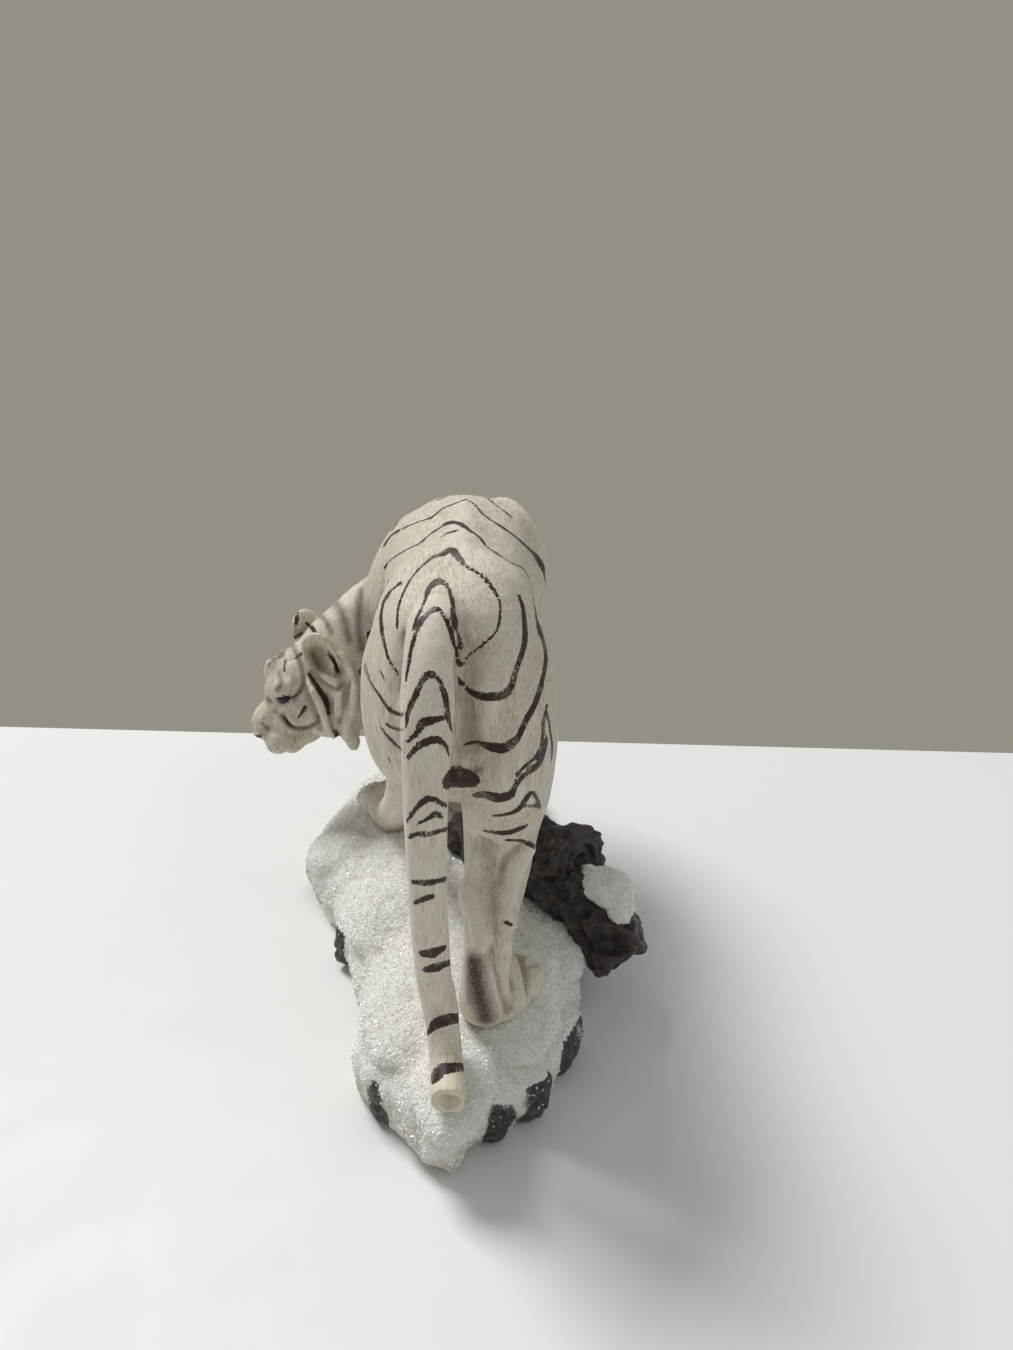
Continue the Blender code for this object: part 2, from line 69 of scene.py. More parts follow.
THIGH_WIDTH = 25.0
SHANK_WIDTH = 14.0
FOREARM_WIDTH = 18.0
PAW_WIDTH = 21.0
PAW_LENGTH = 27.0
PAW_HEIGHT = 13.0
TAIL_WIDTH = 10.6
TAIL_TIP_REACH = 105.5

HEAD_LENGTH = 54.0
EAR_HEIGHT = 17.0
EAR_WIDTH = 13.0
NECK_WIDTH = 36.0
HEAD_PLACE = (-49.0, 43.0, 76.0)
HEAD_TURN = math.radians(112.0)  # to the left of straight ahead
HEAD_NOD = math.radians(34.0)  # nose down

BASE_LENGTH = 214.0
BASE_WIDTH = 105.0
BASE_MIDDLE_X = 0.5
RIM_HEIGHT = 17.0
DRIFT_DEPTH = 8.5

TRUNK_WIDTH = 26.0
BRANCH_WIDTH = 21.0
TRUNK_END = (49.0, -20.0)
BRANCH_END = (63.0, -39.0)
print("tiger", BODY_LENGTH, "mm long on a rock", BASE_LENGTH, "mm long")

# %% [markdown]
# ## The camera
#
# The stripes are painted where the photograph shows them, so the camera comes first. It
# stands behind and above the figurine. Three directions describe it: right, up and ahead.
# A pixel becomes a ray, and the ray finds the spot on the model that the pixel shows.

# %% Camera of the photograph
IMAGE_WIDTH = 1013
IMAGE_HEIGHT = 1350
FOCAL_PIXELS = 980.0
CAMERA_PLACE = (23.0, -283.0, 240.0)
CAMERA_PITCH = math.radians(25.8)  # below the horizon
CAMERA_ROLL = math.radians(1.5)
SENSOR_WIDTH = 36.0

look_ahead = Vector((0, math.cos(CAMERA_PITCH), -math.sin(CAMERA_PITCH)))
level_up = Vector((0, math.sin(CAMERA_PITCH), math.cos(CAMERA_PITCH)))
level_right = Vector((1, 0, 0))
look_right = level_right * math.cos(CAMERA_ROLL) + level_up * math.sin(CAMERA_ROLL)
look_up = level_up * math.cos(CAMERA_ROLL) - level_right * math.sin(CAMERA_ROLL)

lens = bpy.data.cameras.new("photo_camera")
lens.sensor_width = SENSOR_WIDTH
lens.lens = SENSOR_WIDTH * FOCAL_PIXELS / IMAGE_HEIGHT
lens.clip_start = 0.01
camera = bpy.data.objects.new("photo_camera", lens)
turn = Matrix((look_right, look_up, -look_ahead)).transposed()
camera.matrix_world = Matrix.Translation(Vector(CAMERA_PLACE) * MM) @ turn.to_4x4()
bpy.context.scene.collection.objects.link(camera)
bpy.context.scene.camera = camera
print("lens", round(lens.lens, 1), "mm")


def pixel_ray(x, y):
    """Direction, in the figurine's frame, in which the camera sees a pixel."""
    across_view = (x - IMAGE_WIDTH / 2) / FOCAL_PIXELS
    down_view = (y - IMAGE_HEIGHT / 2) / FOCAL_PIXELS
    return look_ahead + look_right * across_view - look_up * down_view


# %% [markdown]
# ## Shapes that flow into each other
#
# A body could be sculpted by hand or built from boxes and smoothed. Here each limb is a
# tube through a few rows of numbers, and the overlapping tubes are fused by the Remesh
# modifier in voxel mode. A Smooth modifier then melts the joints between them, as clay
# would be rubbed. That keeps every form tied to a size and needs no hand work.

# %% Places on the tiger
def up(share):
    """Height over the table, for a share of the rump's height over the snow."""
    return SNOW_TOP + share * RUMP_HEIGHT


def spot(length_share, reach, height_share):
    """A place on the tiger: how far along, how many widths to the right, how high."""
    spine = SPINE_REAR_X + (SPINE_FRONT_X - SPINE_REAR_X) * length_share
    return (spine + reach * BODY_WIDTH, REAR_Y + length_share * BODY_LENGTH, up(height_share))


def smooth_rows(rows, steps):
    """Rows of numbers joined by a Catmull-Rom curve, each span cut into equal steps."""
    table = np.array(rows, dtype=float)
    padded = np.vstack([2 * table[0] - table[1], table, 2 * table[-1] - table[-2]])
    out = []
    for i in range(1, len(padded) - 2):
        a, b, c, d = padded[i - 1 : i + 3]
        for step in range(steps):
            t = step / steps
            out.append(
                0.5 * (2 * b + (c - a) * t + (2 * a - 5 * b + 4 * c - d) * t**2
                       + (3 * b - a - 3 * c + d) * t**3)
            )
    out.append(table[-1])
    return np.array(out)


print("top of the rump:", [round(v) for v in spot(0.15, 0, 1.0)])


# %% Tubes and balls
def squared(value, fullness):
    """A sine or cosine pushed outwards, so that an oval section turns boxier."""
    return math.copysign(abs(value) ** (2.0 / fullness), value)


def add_limb(bm, rows, side=(1, 0, 0), steps=5, sides=32, fullness=2.0):
    """A closed tube through rows of x, y, z, half width along side, half depth."""
    table = smooth_rows(rows, steps)
    table[:, 3:] = np.maximum(table[:, 3:], 0.4)
    centres = [Vector(row[:3]) for row in table]
    rings = []
    for i, row in enumerate(table):
        way = (centres[min(i + 1, len(table) - 1)] - centres[max(i - 1, 0)]).normalized()
        wide = (Vector(side) - way * way.dot(Vector(side))).normalized()
        deep = way.cross(wide)
        ring = []
        for k in range(sides):
            angle = 2 * math.pi * k / sides
            reach = wide * squared(math.cos(angle), fullness) * row[3]
            reach += deep * squared(math.sin(angle), fullness) * row[4]
            ring.append(bm.verts.new(centres[i] + reach))
        rings.append(ring)
    for low, high in zip(rings, rings[1:]):
        for k in range(sides):
            bm.faces.new((low[k], low[(k + 1) % sides], high[(k + 1) % sides], high[k]))
    bm.faces.new(list(reversed(rings[0])))
    bm.faces.new(rings[-1])


def add_ball(bm, centre, radii, turned=None):
    """An ellipsoid, turned about its own centre."""
    placing = Matrix.Translation(Vector(centre))
    if turned is not None:
        placing = placing @ turned
    placing = placing @ Matrix.Diagonal((*radii, 1.0))
    bmesh.ops.create_uvsphere(bm, u_segments=32, v_segments=20, radius=1.0, matrix=placing)


# %% Fusing
def fused(bm, grain, rounds):
    """The mesh of a drawing after its overlapping shapes are fused and smoothed."""
    bmesh.ops.recalc_face_normals(bm, faces=bm.faces[:])
    rough = bpy.data.meshes.new("rough")
    bm.to_mesh(rough)
    bm.free()
    piece = bpy.data.objects.new("rough", rough)
    bpy.context.scene.collection.objects.link(piece)
    remesh = piece.modifiers.new("fuse", "REMESH")
    remesh.mode = "VOXEL"
    remesh.voxel_size = grain
    soften = piece.modifiers.new("soften", "SMOOTH")
    soften.factor = 0.5
    soften.iterations = rounds
    mesh = bpy.data.meshes.new_from_object(piece.evaluated_get(bpy.context.evaluated_depsgraph_get()))
    bpy.data.objects.remove(piece)
    return mesh


def finished(name, mesh, material):
    """A drawn mesh becomes a piece of the figurine, in metres, smooth and in its material."""
    mesh.transform(Matrix.Scale(MM, 4))
    mesh.shade_smooth()
    mesh.materials.clear()
    mesh.materials.append(material)
    piece = bpy.data.objects.new(name, mesh)
    bpy.context.scene.collection.objects.link(piece)
    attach(piece, "root")
    print(name, len(mesh.polygons), "faces")
    return piece


# %% [markdown]
# ## Torso, neck and legs
#
# The torso's rows give the line of the back, the line of the belly and the width at shares
# of the length. The neck bends to the left and down. Each leg starts inside the torso, high
# up, so that the fused skin shows a shoulder or a haunch and no seam.

# %% Torso
def add_torso(bm):
    half = BODY_WIDTH / 2
    rows = []
    for share, top, bottom, wide in (
        (0.010, 0.880, 0.640, 0.40), (0.060, 0.965, 0.560, 0.74), (0.150, 1.000, 0.520, 0.90),
        (0.290, 0.980, 0.500, 0.86), (0.430, 0.950, 0.480, 0.90), (0.570, 0.932, 0.455, 1.00),
        (0.700, 0.910, 0.435, 1.02), (0.820, 0.870, 0.430, 0.92), (0.910, 0.790, 0.440, 0.74),
        (0.970, 0.700, 0.480, 0.48), (1.000, 0.630, 0.530, 0.20),
    ):
        x, y, _ = spot(share, 0.0, 0.0)
        rows.append((x, y, up((top + bottom) / 2), half * wide, RUMP_HEIGHT * (top - bottom) / 2))
    add_limb(bm, rows, sides=36, fullness=2.35)
    return rows


# %% Head's own frame
def head_matrix():
    """Head's own frame: nose along +Y, turned and nodded into place."""
    turned = Matrix.Rotation(HEAD_TURN, 4, "Z") @ Matrix.Rotation(-HEAD_NOD, 4, "X")
    return Matrix.Translation(Vector(HEAD_PLACE)) @ turned


HEAD = head_matrix()
HEAD_TURNED = HEAD.to_3x3().to_4x4()


def on_head(x, y, z):
    """A place given in millimetres on the head: right, towards the nose, up."""
    return HEAD @ Vector((x, y, z))


print("nose tip near", [round(v) for v in on_head(0, 28, -2)])


# %% Neck
def neck_rows():
    half = NECK_WIDTH / 2
    nape = on_head(0, -0.16 * HEAD_LENGTH, 0)
    start = Vector(spot(0.74, 0.0, 0.62))
    bend = Vector(spot(0.865, -0.26, 0.545))
    swing = Vector(spot(0.850, -0.60, 0.475))
    return [
        (*start, half * 1.15, half * 1.45),
        (*bend, half * 1.08, half * 1.30),
        (*swing, half * 0.98, half * 1.16),
        (*(swing + nape) / 2, half * 0.92, half * 1.06),
        (*nape, half * 0.86, half * 0.95),
        (*(nape + Vector(HEAD_PLACE)) / 2, half * 0.6, half * 0.7),
    ]


def add_neck(bm):
    for row in smooth_rows(neck_rows(), 3):
        add_ball(bm, row[:3], (float(row[3]), float(row[3]), float(row[4])))


# %% Legs
def hind_leg_rows():
    """Right hind leg, stretched out behind, and left hind leg, swung forward."""
    thigh = THIGH_WIDTH / 2
    shank = SHANK_WIDTH / 2
    right = [
        (*spot(0.170, 0.14, 0.920), thigh * 0.45, thigh * 0.90),
        (*spot(0.165, 0.24, 0.820), thigh * 0.90, thigh * 1.65),
        (*spot(0.140, 0.27, 0.680), thigh * 1.04, thigh * 1.90),
        (*spot(0.150, 0.27, 0.550), thigh * 0.98, thigh * 1.62),
        (*spot(0.155, 0.25, 0.440), shank * 1.55, shank * 2.15),
        (*spot(0.125, 0.23, 0.350), shank * 1.32, shank * 1.55),
        (*spot(0.080, 0.20, 0.280), shank * 1.08, shank * 1.22),
        (*spot(0.050, 0.18, 0.210), shank * 0.98, shank * 1.02),
        (*spot(0.050, 0.17, 0.130), shank * 1.00, shank * 0.92),
        (*spot(0.070, 0.17, 0.060), shank * 1.10, shank * 1.00),
        (*spot(0.090, 0.18, 0.030), shank * 1.18, shank * 1.10),
    ]
    left = [
        (*spot(0.170, -0.14, 0.920), thigh * 0.45, thigh * 0.90),
        (*spot(0.180, -0.24, 0.800), thigh * 0.90, thigh * 1.65),
        (*spot(0.215, -0.26, 0.670), thigh * 0.98, thigh * 1.85),
        (*spot(0.305, -0.27, 0.560), thigh * 0.88, thigh * 1.45),
        (*spot(0.405, -0.31, 0.460), shank * 1.45, shank * 1.90),
        (*spot(0.445, -0.33, 0.345), shank * 1.16, shank * 1.40),
        (*spot(0.465, -0.36, 0.250), shank * 0.98, shank * 1.10),
        (*spot(0.520, -0.41, 0.160), shank * 0.98, shank * 0.92),
        (*spot(0.590, -0.46, 0.080), shank * 1.05, shank * 0.95),
        (*spot(0.630, -0.50, 0.030), shank * 1.15, shank * 1.05),
    ]
    return right, left


def fore_leg_rows():
    """Right foreleg under the shoulder, and left foreleg reaching ahead."""
    arm = FOREARM_WIDTH / 2
    right = [
        (*spot(0.730, 0.17, 0.845), arm * 0.60, arm * 1.00),
        (*spot(0.750, 0.29, 0.800), arm * 1.10, arm * 1.80),
        (*spot(0.790, 0.35, 0.660), arm * 1.42, arm * 2.20),
        (*spot(0.780, 0.33, 0.520), arm * 1.32, arm * 1.80),
        (*spot(0.745, 0.25, 0.390), arm * 1.12, arm * 1.30),
        (*spot(0.715, 0.15, 0.260), arm * 0.96, arm * 1.04),
        (*spot(0.695, 0.06, 0.140), arm * 0.88, arm * 0.88),
        (*spot(0.695, 0.02, 0.040), arm * 0.98, arm * 0.95),
    ]
    left = [
        (*spot(0.735, -0.17, 0.830), arm * 0.60, arm * 1.00),
        (*spot(0.750, -0.30, 0.770), arm * 1.10, arm * 1.80),
        (*spot(0.800, -0.43, 0.630), arm * 1.50, arm * 2.20),
        (*spot(0.830, -0.42, 0.500), arm * 1.40, arm * 1.75),
        (*spot(0.860, -0.38, 0.370), arm * 1.12, arm * 1.25),
        (*spot(0.900, -0.33, 0.240), arm * 0.96, arm * 1.02),
        (*spot(0.950, -0.29, 0.120), arm * 0.88, arm * 0.88),
        (*spot(0.975, -0.27, 0.040), arm * 0.98, arm * 0.95),
    ]
    return right, left


# %% [markdown]
# ## Head, paws and tail
#
# The skull and the cheeks are fused with the body and smoothed with it. The muzzle, the
# brows, the ears, the toes and the tail come after that smoothing, so they stay crisp.

# %% Skull, cheeks and ruff
def add_head(bm):
    add_ball(bm, on_head(0, -3.8, 1.6), (15.5, 17.8, 15.1), HEAD_TURNED)
    add_ball(bm, on_head(0, 6.5, 5.4), (10.8, 10.8, 8.1), HEAD_TURNED)
    for side in (-1, 1):
        add_ball(bm, on_head(side * 11.9, 0.0, -6.5), (6.8, 10.8, 10.8), HEAD_TURNED)
        add_ball(bm, on_head(side * 15.1, -9.2, -7.6), (4.9, 8.1, 13.0), HEAD_TURNED)
        add_ball(bm, on_head(side * 15.1, -10.8, -21.0), (3.6, 5.9, 10.3), HEAD_TURNED)


# %% Face
def add_face(bm):
    """Muzzle, nose, jaw, whisker pads and brows."""
    for centre, radii in (
        ((0, 13.0, -3.2), (10.4, 11.3, 8.6)),
        ((0, 14.6, 2.4), (5.7, 12.0, 4.6)),
        ((0, 25.4, -1.4), (4.1, 3.2, 3.0)),
        ((0, 10.3, -11.9), (8.3, 10.8, 5.9)),
        ((0, 19.4, -13.2), (5.6, 5.5, 4.3)),
    ):
        add_ball(bm, on_head(*centre), radii, HEAD_TURNED)
    for side in (-1, 1):
        add_ball(bm, on_head(side * 5.4, 21.0, -6.6), (5.9, 6.6, 5.2), HEAD_TURNED)
        add_ball(bm, on_head(side * 8.2, 7.6, 11.2), (4.4, 4.6, 2.8), HEAD_TURNED)
        add_ear(bm, side)


def add_ear(bm, side):
    """A round ear, laid back, dished on its outer face and full behind."""
    ear = bmesh.new()
    bmesh.ops.create_uvsphere(ear, u_segments=40, v_segments=28, radius=1.0)
    thick = EAR_WIDTH * 0.27
    for vert in ear.verts:
        x, y, z = vert.co
        rho = min(math.hypot(x, z), 1.0)
        dish = thick * (0.5 * y - 1.15 * (1 - rho * rho) ** 2)
        vert.co = Vector((x * EAR_WIDTH / 2, dish if y > 0 else y * thick, z * EAR_HEIGHT / 2))
    lean = Matrix.Rotation(math.radians(side * 10.0), 4, "Y")
    tip_back = Matrix.Rotation(math.radians(14.0), 4, "X")
    swing = Matrix.Rotation(math.radians(side * -66.0), 4, "Z")
    seat = Matrix.Translation(Vector((side * 12.2, -10.8, 14.4)))
    bmesh.ops.transform(ear, matrix=HEAD @ seat @ swing @ tip_back @ lean, verts=ear.verts[:])
    mesh = bpy.data.meshes.new("ear")
    ear.to_mesh(mesh)
    ear.free()
    bm.from_mesh(mesh)


# %% Locks of the ruff
RUFF_LOCKS = (  # x, y and z on the left of the head, and the lock's half width
    ((-10.6, -2.2, 12.0, 0.9), (-13.6, -1.5, 8.0, 1.5), (-15.4, -0.4, 3.6, 1.9), (-17.6, 1.2, -2.4, 2.1),
     (-17.4, 3.4, -9.4, 2.0), (-15.6, 5.0, -14.6, 1.1)),
    ((-13.2, -7.0, 8.0, 1.4), (-16.2, -7.9, 4.2, 2.2), (-18.2, -7.4, 0.4, 2.5), (-18.8, -4.0, -6.0, 2.5),
     (-17.6, -1.4, -12.8, 2.8), (-15.6, 0.4, -19.0, 3.5), (-14.8, 2.0, -23.4, 2.6)),
    ((-11.4, -16.2, 9.0, 1.5), (-14.6, -15.2, 3.8, 2.1), (-18.0, -13.0, -0.6, 2.5),
     (-19.2, -8.8, -4.6, 2.4), (-18.4, -5.6, -11.4, 2.3), (-16.4, -3.2, -17.6, 1.2)),
    ((-15.4, -15.4, -4.0, 1.6), (-17.8, -13.0, -11.0, 2.9), (-17.0, -9.6, -18.5, 3.3),
     (-14.8, -6.8, -24.6, 3.3), (-14.0, -5.6, -27.0, 2.6)),
    ((-9.6, -2.0, -14.0, 2.4), (-9.8, -1.4, -20.0, 2.6), (-8.4, 0.4, -25.6, 1.0)),
)


def add_ruff(bm):
    """Thick locks of fur that fall from the ears, past the cheeks, to hanging tufts."""
    for lock in RUFF_LOCKS:
        for side in (-1, 1):
            rows = [(*on_head(-side * x, y, z), half, half * 0.85) for x, y, z, half in lock]
            add_limb(bm, rows, side=HEAD.to_3x3() @ Vector((1, 0, 0)), sides=16)


# %% Paws
def paw_places():
    """Heel and heading of each paw, in degrees to the left of straight ahead."""
    return (
        (spot(0.068, 0.19, 0.0), -28.0),
        (spot(0.606, -0.46, 0.0), 24.0),
        (spot(0.672, 0.02, 0.0), -4.0),
        (spot(0.955, -0.27, 0.0), 10.0),
    )


def add_paws(bm):
    half = PAW_WIDTH / 2
    for heel, heading in paw_places():
        turned = Matrix.Rotation(math.radians(heading), 4, "Z")
        place = Matrix.Translation(Vector(heel)) @ turned
        add_ball(bm, place @ Vector((0, PAW_LENGTH * 0.30, PAW_HEIGHT * 0.42)),
                 (half * 0.86, PAW_LENGTH * 0.42, PAW_HEIGHT * 0.56), turned)
        for toe in range(4):
            fan = (toe - 1.5) / 1.5
            reach = PAW_LENGTH * (0.70 - 0.13 * fan * fan)
            add_ball(bm, place @ Vector((fan * half * 0.66, reach, PAW_HEIGHT * 0.36)),
                     (half * 0.29, PAW_LENGTH * 0.21, PAW_HEIGHT * 0.42), turned)


# %% Tail
def tail_rows():
    half = TAIL_WIDTH / 2
    tip_y = -TAIL_TIP_REACH
    root = Vector(spot(0.080, -0.07, 0.930))
    return [
        (root.x, root.y + 6, root.z - 2, half * 1.2, half * 1.35),
        (root.x - 0.5, root.y - 8, root.z - 2, half * 1.32, half * 1.45),
        (root.x - 1.4, root.y - 19, root.z - 16, half * 1.16, half * 1.25),
        (root.x - 1.9, root.y - 22, root.z - 40, half * 0.96, half * 1.05),
        (root.x - 1.6, root.y - 21, up(0.420), half * 0.90, half * 0.94),
        (root.x - 0.9, root.y - 18, up(0.250), half * 0.89, half * 0.92),
        (root.x + 0.8, root.y - 17, up(0.140), half * 0.91, half * 0.92),
        (root.x + 2.6, (root.y - 21 + tip_y) / 2 + 5, up(0.055), half * 0.87, half * 0.90),
        (root.x + 4.2, tip_y, SNOW_TOP + half * 0.95, half * 0.86, half * 0.88),
    ]


# %% Fuse the tiger
FRAME_GRAIN = 1.2
SKIN_GRAIN = 1.13

limbs = bmesh.new()
torso_rows = add_torso(limbs)
add_neck(limbs)
for rows in (*hind_leg_rows(), *fore_leg_rows()):
    add_limb(limbs, rows)
add_head(limbs)
casting = bmesh.new()
casting.from_mesh(fused(limbs, FRAME_GRAIN, 16))
add_face(casting)
add_ruff(casting)
add_paws(casting)
add_limb(casting, tail_rows(), steps=6)
tiger_mesh = fused(casting, SKIN_GRAIN, 3)
print("fused tiger:", len(tiger_mesh.vertices), "points")

# %% [markdown]
# ## Finer where the eye lands
#
# One voxel size for the whole tiger would be too coarse for the face or too heavy for the
# flanks. The faces round the head and the snapped tail tip are cut in four, which halves the
# spacing there, and the carving that follows uses it.

# %% Refine the head and the tail tip
def refined(mesh, places):
    """The mesh with its faces cut in four inside balls of (centre, radius)."""
    bm = bmesh.new()
    bm.from_mesh(mesh)
    for centre, radius in places:
        middle = Vector(centre)
        chosen = [f for f in bm.faces if (f.calc_center_median() - middle).length < radius]
        edges = list({edge for face in chosen for edge in face.edges})
        bmesh.ops.subdivide_edges(bm, edges=edges, cuts=1, use_grid_fill=True, smooth=0.0)
    bmesh.ops.triangulate(bm, faces=[f for f in bm.faces if len(f.verts) > 4])
    bm.to_mesh(mesh)
    bm.free()
    return mesh


tail_tip = Vector(tail_rows()[-1][:3])
refined(tiger_mesh, [(on_head(0, 4, 0), 33.0), (tail_tip, 8.0), (tail_tip, 6.5)])
print("refined tiger:", len(tiger_mesh.vertices), "points")


# %% A mesh as arrays
class Surface:
    """A mesh's points, normals and edges as arrays that carving and painting work on."""

    def __init__(self, mesh):
        self.mesh = mesh
        count = len(mesh.vertices)
        self.points = np.empty(count * 3)
        mesh.vertices.foreach_get("co", self.points)
        self.points = self.points.reshape(-1, 3)
        self.edges = np.empty(len(mesh.edges) * 2, dtype=np.int64)
        mesh.edges.foreach_get("vertices", self.edges)
        self.edges = self.edges.reshape(-1, 2)
        self.settle()

    def settle(self):
        """Writes the points back and reads the new normals."""
        self.mesh.vertices.foreach_set("co", self.points.ravel())
        self.mesh.update()
        self.normals = np.empty(len(self.points) * 3)
        self.mesh.vertex_normals.foreach_get("vector", self.normals)
        self.normals = self.normals.reshape(-1, 3)

    def averaged(self, values):
        """Each point's value averaged over its neighbours."""
        total = np.zeros_like(values)
        shares = np.zeros(len(values))
        for a, b in (self.edges.T, self.edges.T[::-1]):
            np.add.at(total, a, values[b])
            np.add.at(shares, a, 1.0)
        shares = np.maximum(shares, 1.0)
        return total / (shares[:, None] if values.ndim > 1 else shares)

    def hollows(self, rounds):
        """Positive in creases and negative on ridges: how far the neighbours stand out."""
        soft = self.points
        for _ in range(rounds):
            soft = self.averaged(soft)
        return np.einsum("ij,ij->i", soft - self.points, self.normals)

    def noise_field(self, size, seed=0.0, stretch=(1, 1, 1)):
        """Soft noise between about -1 and 1, whose lumps are size millimetres apart."""
        scaled = self.points / (size * np.array(stretch, dtype=float)) + seed
        return np.array([noise.noise(Vector(p)) for p in scaled])

    def store(self, name, values):
        """Keeps one number or one vector for each point, for the materials to read."""
        kind = "FLOAT" if values.ndim == 1 else "FLOAT_VECTOR"
        layer = self.mesh.attributes.new(name, kind, "POINT")
        layer.data.foreach_set("value" if values.ndim == 1 else "vector", values.ravel())


def dense(path, spacing=0.4):
    """A path of points, cut into steps of the given spacing."""
    path = np.array([list(p) for p in path], dtype=float)
    steps = np.linalg.norm(np.diff(path[:, :3], axis=0), axis=1)
    walk = np.concatenate([[0.0], np.cumsum(steps)])
    marks = np.linspace(0, walk[-1], max(2, int(walk[-1] / spacing) + 1))
    return np.column_stack([np.interp(marks, walk, path[:, k]) for k in range(path.shape[1])])


tiger = Surface(tiger_mesh)
print("edges:", len(tiger.edges))

# %% [markdown]
# ## Carving
#
# A sculptor presses grooves and raises ridges with a round tool. The same is done here: a
# path, a width and a depth, and every point near the path moves along its own normal by a
# soft bell curve. A negative depth raises a ridge.

# %% Carving tools
def points_round(form, path, reach):
    """Numbers of the points in the box round a path, and how far each is from the path."""
    line = dense(path)[:, :3]
    near = np.all((form.points > line.min(0) - reach) & (form.points < line.max(0) + reach), axis=1)
    chosen = np.nonzero(near)[0]
    return chosen, np.linalg.norm(form.points[chosen][:, None] - line[None], axis=2).min(axis=1)


def carve(form, path, width, depth):
    """Presses a soft groove along a path."""
    chosen, gaps = points_round(form, path, 3 * width)
    push = depth * np.exp(-((gaps / width) ** 2))
    form.points[chosen] -= form.normals[chosen] * push[:, None]


def both_sides(path):
    """A path on the head, and its mirror image on the other side of the face."""
    return [[on_head(side * x, y, z) for x, y, z in path] for side in (-1, 1)]


# %% Carve the face
EYE = (9.7, 10.4, 7.9)

carve(tiger, [on_head(0, 29.0, -3.6), on_head(0, 28.0, -8.5)], 0.8, 0.9)
for path in both_sides([(0, 28.2, -8.6), (3.4, 27.6, -9.8), (7.0, 24.2, -11.0), (10.4, 18.5, -10.6),
                        (12.2, 13.5, -9.0)]):
    carve(tiger, path, 0.9, 1.5)
for path in both_sides([(2.3, 28.0, -1.9), (3.6, 26.4, -0.9)]):
    carve(tiger, path, 0.75, 1.1)
for path in both_sides([(4.4, 25.0, 0.4), (4.9, 21.0, 0.6), (5.6, 17.0, 1.6)]):
    carve(tiger, path, 1.3, 0.7)
for path in both_sides([EYE, (EYE[0] - 0.4, EYE[1] + 0.6, EYE[2])]):
    carve(tiger, path, 2.5, 1.9)
for path in both_sides([(6.9, 13.4, 6.2), (5.8, 15.6, 4.2)]):
    carve(tiger, path, 0.9, 0.8)
for path in both_sides([(6.6, 12.6, 9.0), (9.0, 10.6, 10.9), (11.9, 7.0, 10.0), (13.2, 4.2, 7.6)]):
    carve(tiger, path, 1.0, -0.9)
for path in both_sides([(7.6, 13.6, 5.2), (10.2, 11.4, 4.6), (12.6, 7.6, 5.2)]):
    carve(tiger, path, 1.0, -0.7)
carve(tiger, [on_head(0, 4, 15.5), on_head(0, 12, 10.5), on_head(0, 17, 7.5)], 1.6, 0.7)
for side in (-1, 1):
    for toward_tip in (0.0, 1.2, 2.4):
        carve(tiger, [on_head(side * (15.0 + 0.3 * toward_tip), -10.5, 11.0 + 2.4 * toward_tip),
                      on_head(side * 15.6, -10.9, 12.0 + 2.4 * toward_tip)], 2.2, 0.5)
tiger.settle()
print("face carved")


# %% [markdown]
# The snapped end of the tail is flat, with a rounded rim and a conical dimple where the
# resin tore. The points near the tip are pushed onto that profile.

# %% Snapped tail tip
TIP_RIM = TAIL_WIDTH * 0.43
DIMPLE_RIM = TAIL_WIDTH * 0.27
DIMPLE_DEPTH = 3.0


def shape_tail_tip(form):
    offset = form.points - np.array(tail_tip)
    radius = np.hypot(offset[:, 0], offset[:, 2])
    at_tip = (radius < TIP_RIM * 1.25) & (offset[:, 1] < 1.4) & (np.abs(offset[:, 1]) < 8.0)
    wobble = 0.25 * np.sin(np.arctan2(offset[:, 2], offset[:, 0]) * 3 + 0.7)
    sunk = np.clip((DIMPLE_RIM + wobble - radius) / DIMPLE_RIM, 0.0, 1.0) ** 0.8
    facing = form.normals[:, 1] < -0.35
    chosen = at_tip & facing
    form.points[chosen, 1] = tail_tip.y + wobble[chosen] * 0.6 + sunk[chosen] * DIMPLE_DEPTH
    form.settle()


shape_tail_tip(tiger)
print("tail tip at", [round(v, 1) for v in tail_tip])

# %% [markdown]
# ## Spots from pixels, and spots round a limb
#
# Two ways of placing a brush stroke on the skin. What the photograph shows is given in its
# pixels and thrown onto the model from the camera. What it hides is given round a limb: how
# far along, at what angle, and a ray from the limb's middle finds the skin.

# %% Brush paths seen in the photograph
EYE_POINT = Vector(CAMERA_PLACE)
BRUSH_GAIN = 1.22
LARGEST_STEP = 6.0
LARGEST_HIDDEN_STEP = LARGEST_STEP * 0.7
MOST_SLANTED = 0.04


def skin_tree(form):
    """A search tree over the faces of a form, for rays and nearest spots."""
    return BVHTree.FromPolygons([Vector(p) for p in form.points],
                                [tuple(face.vertices) for face in form.mesh.polygons])


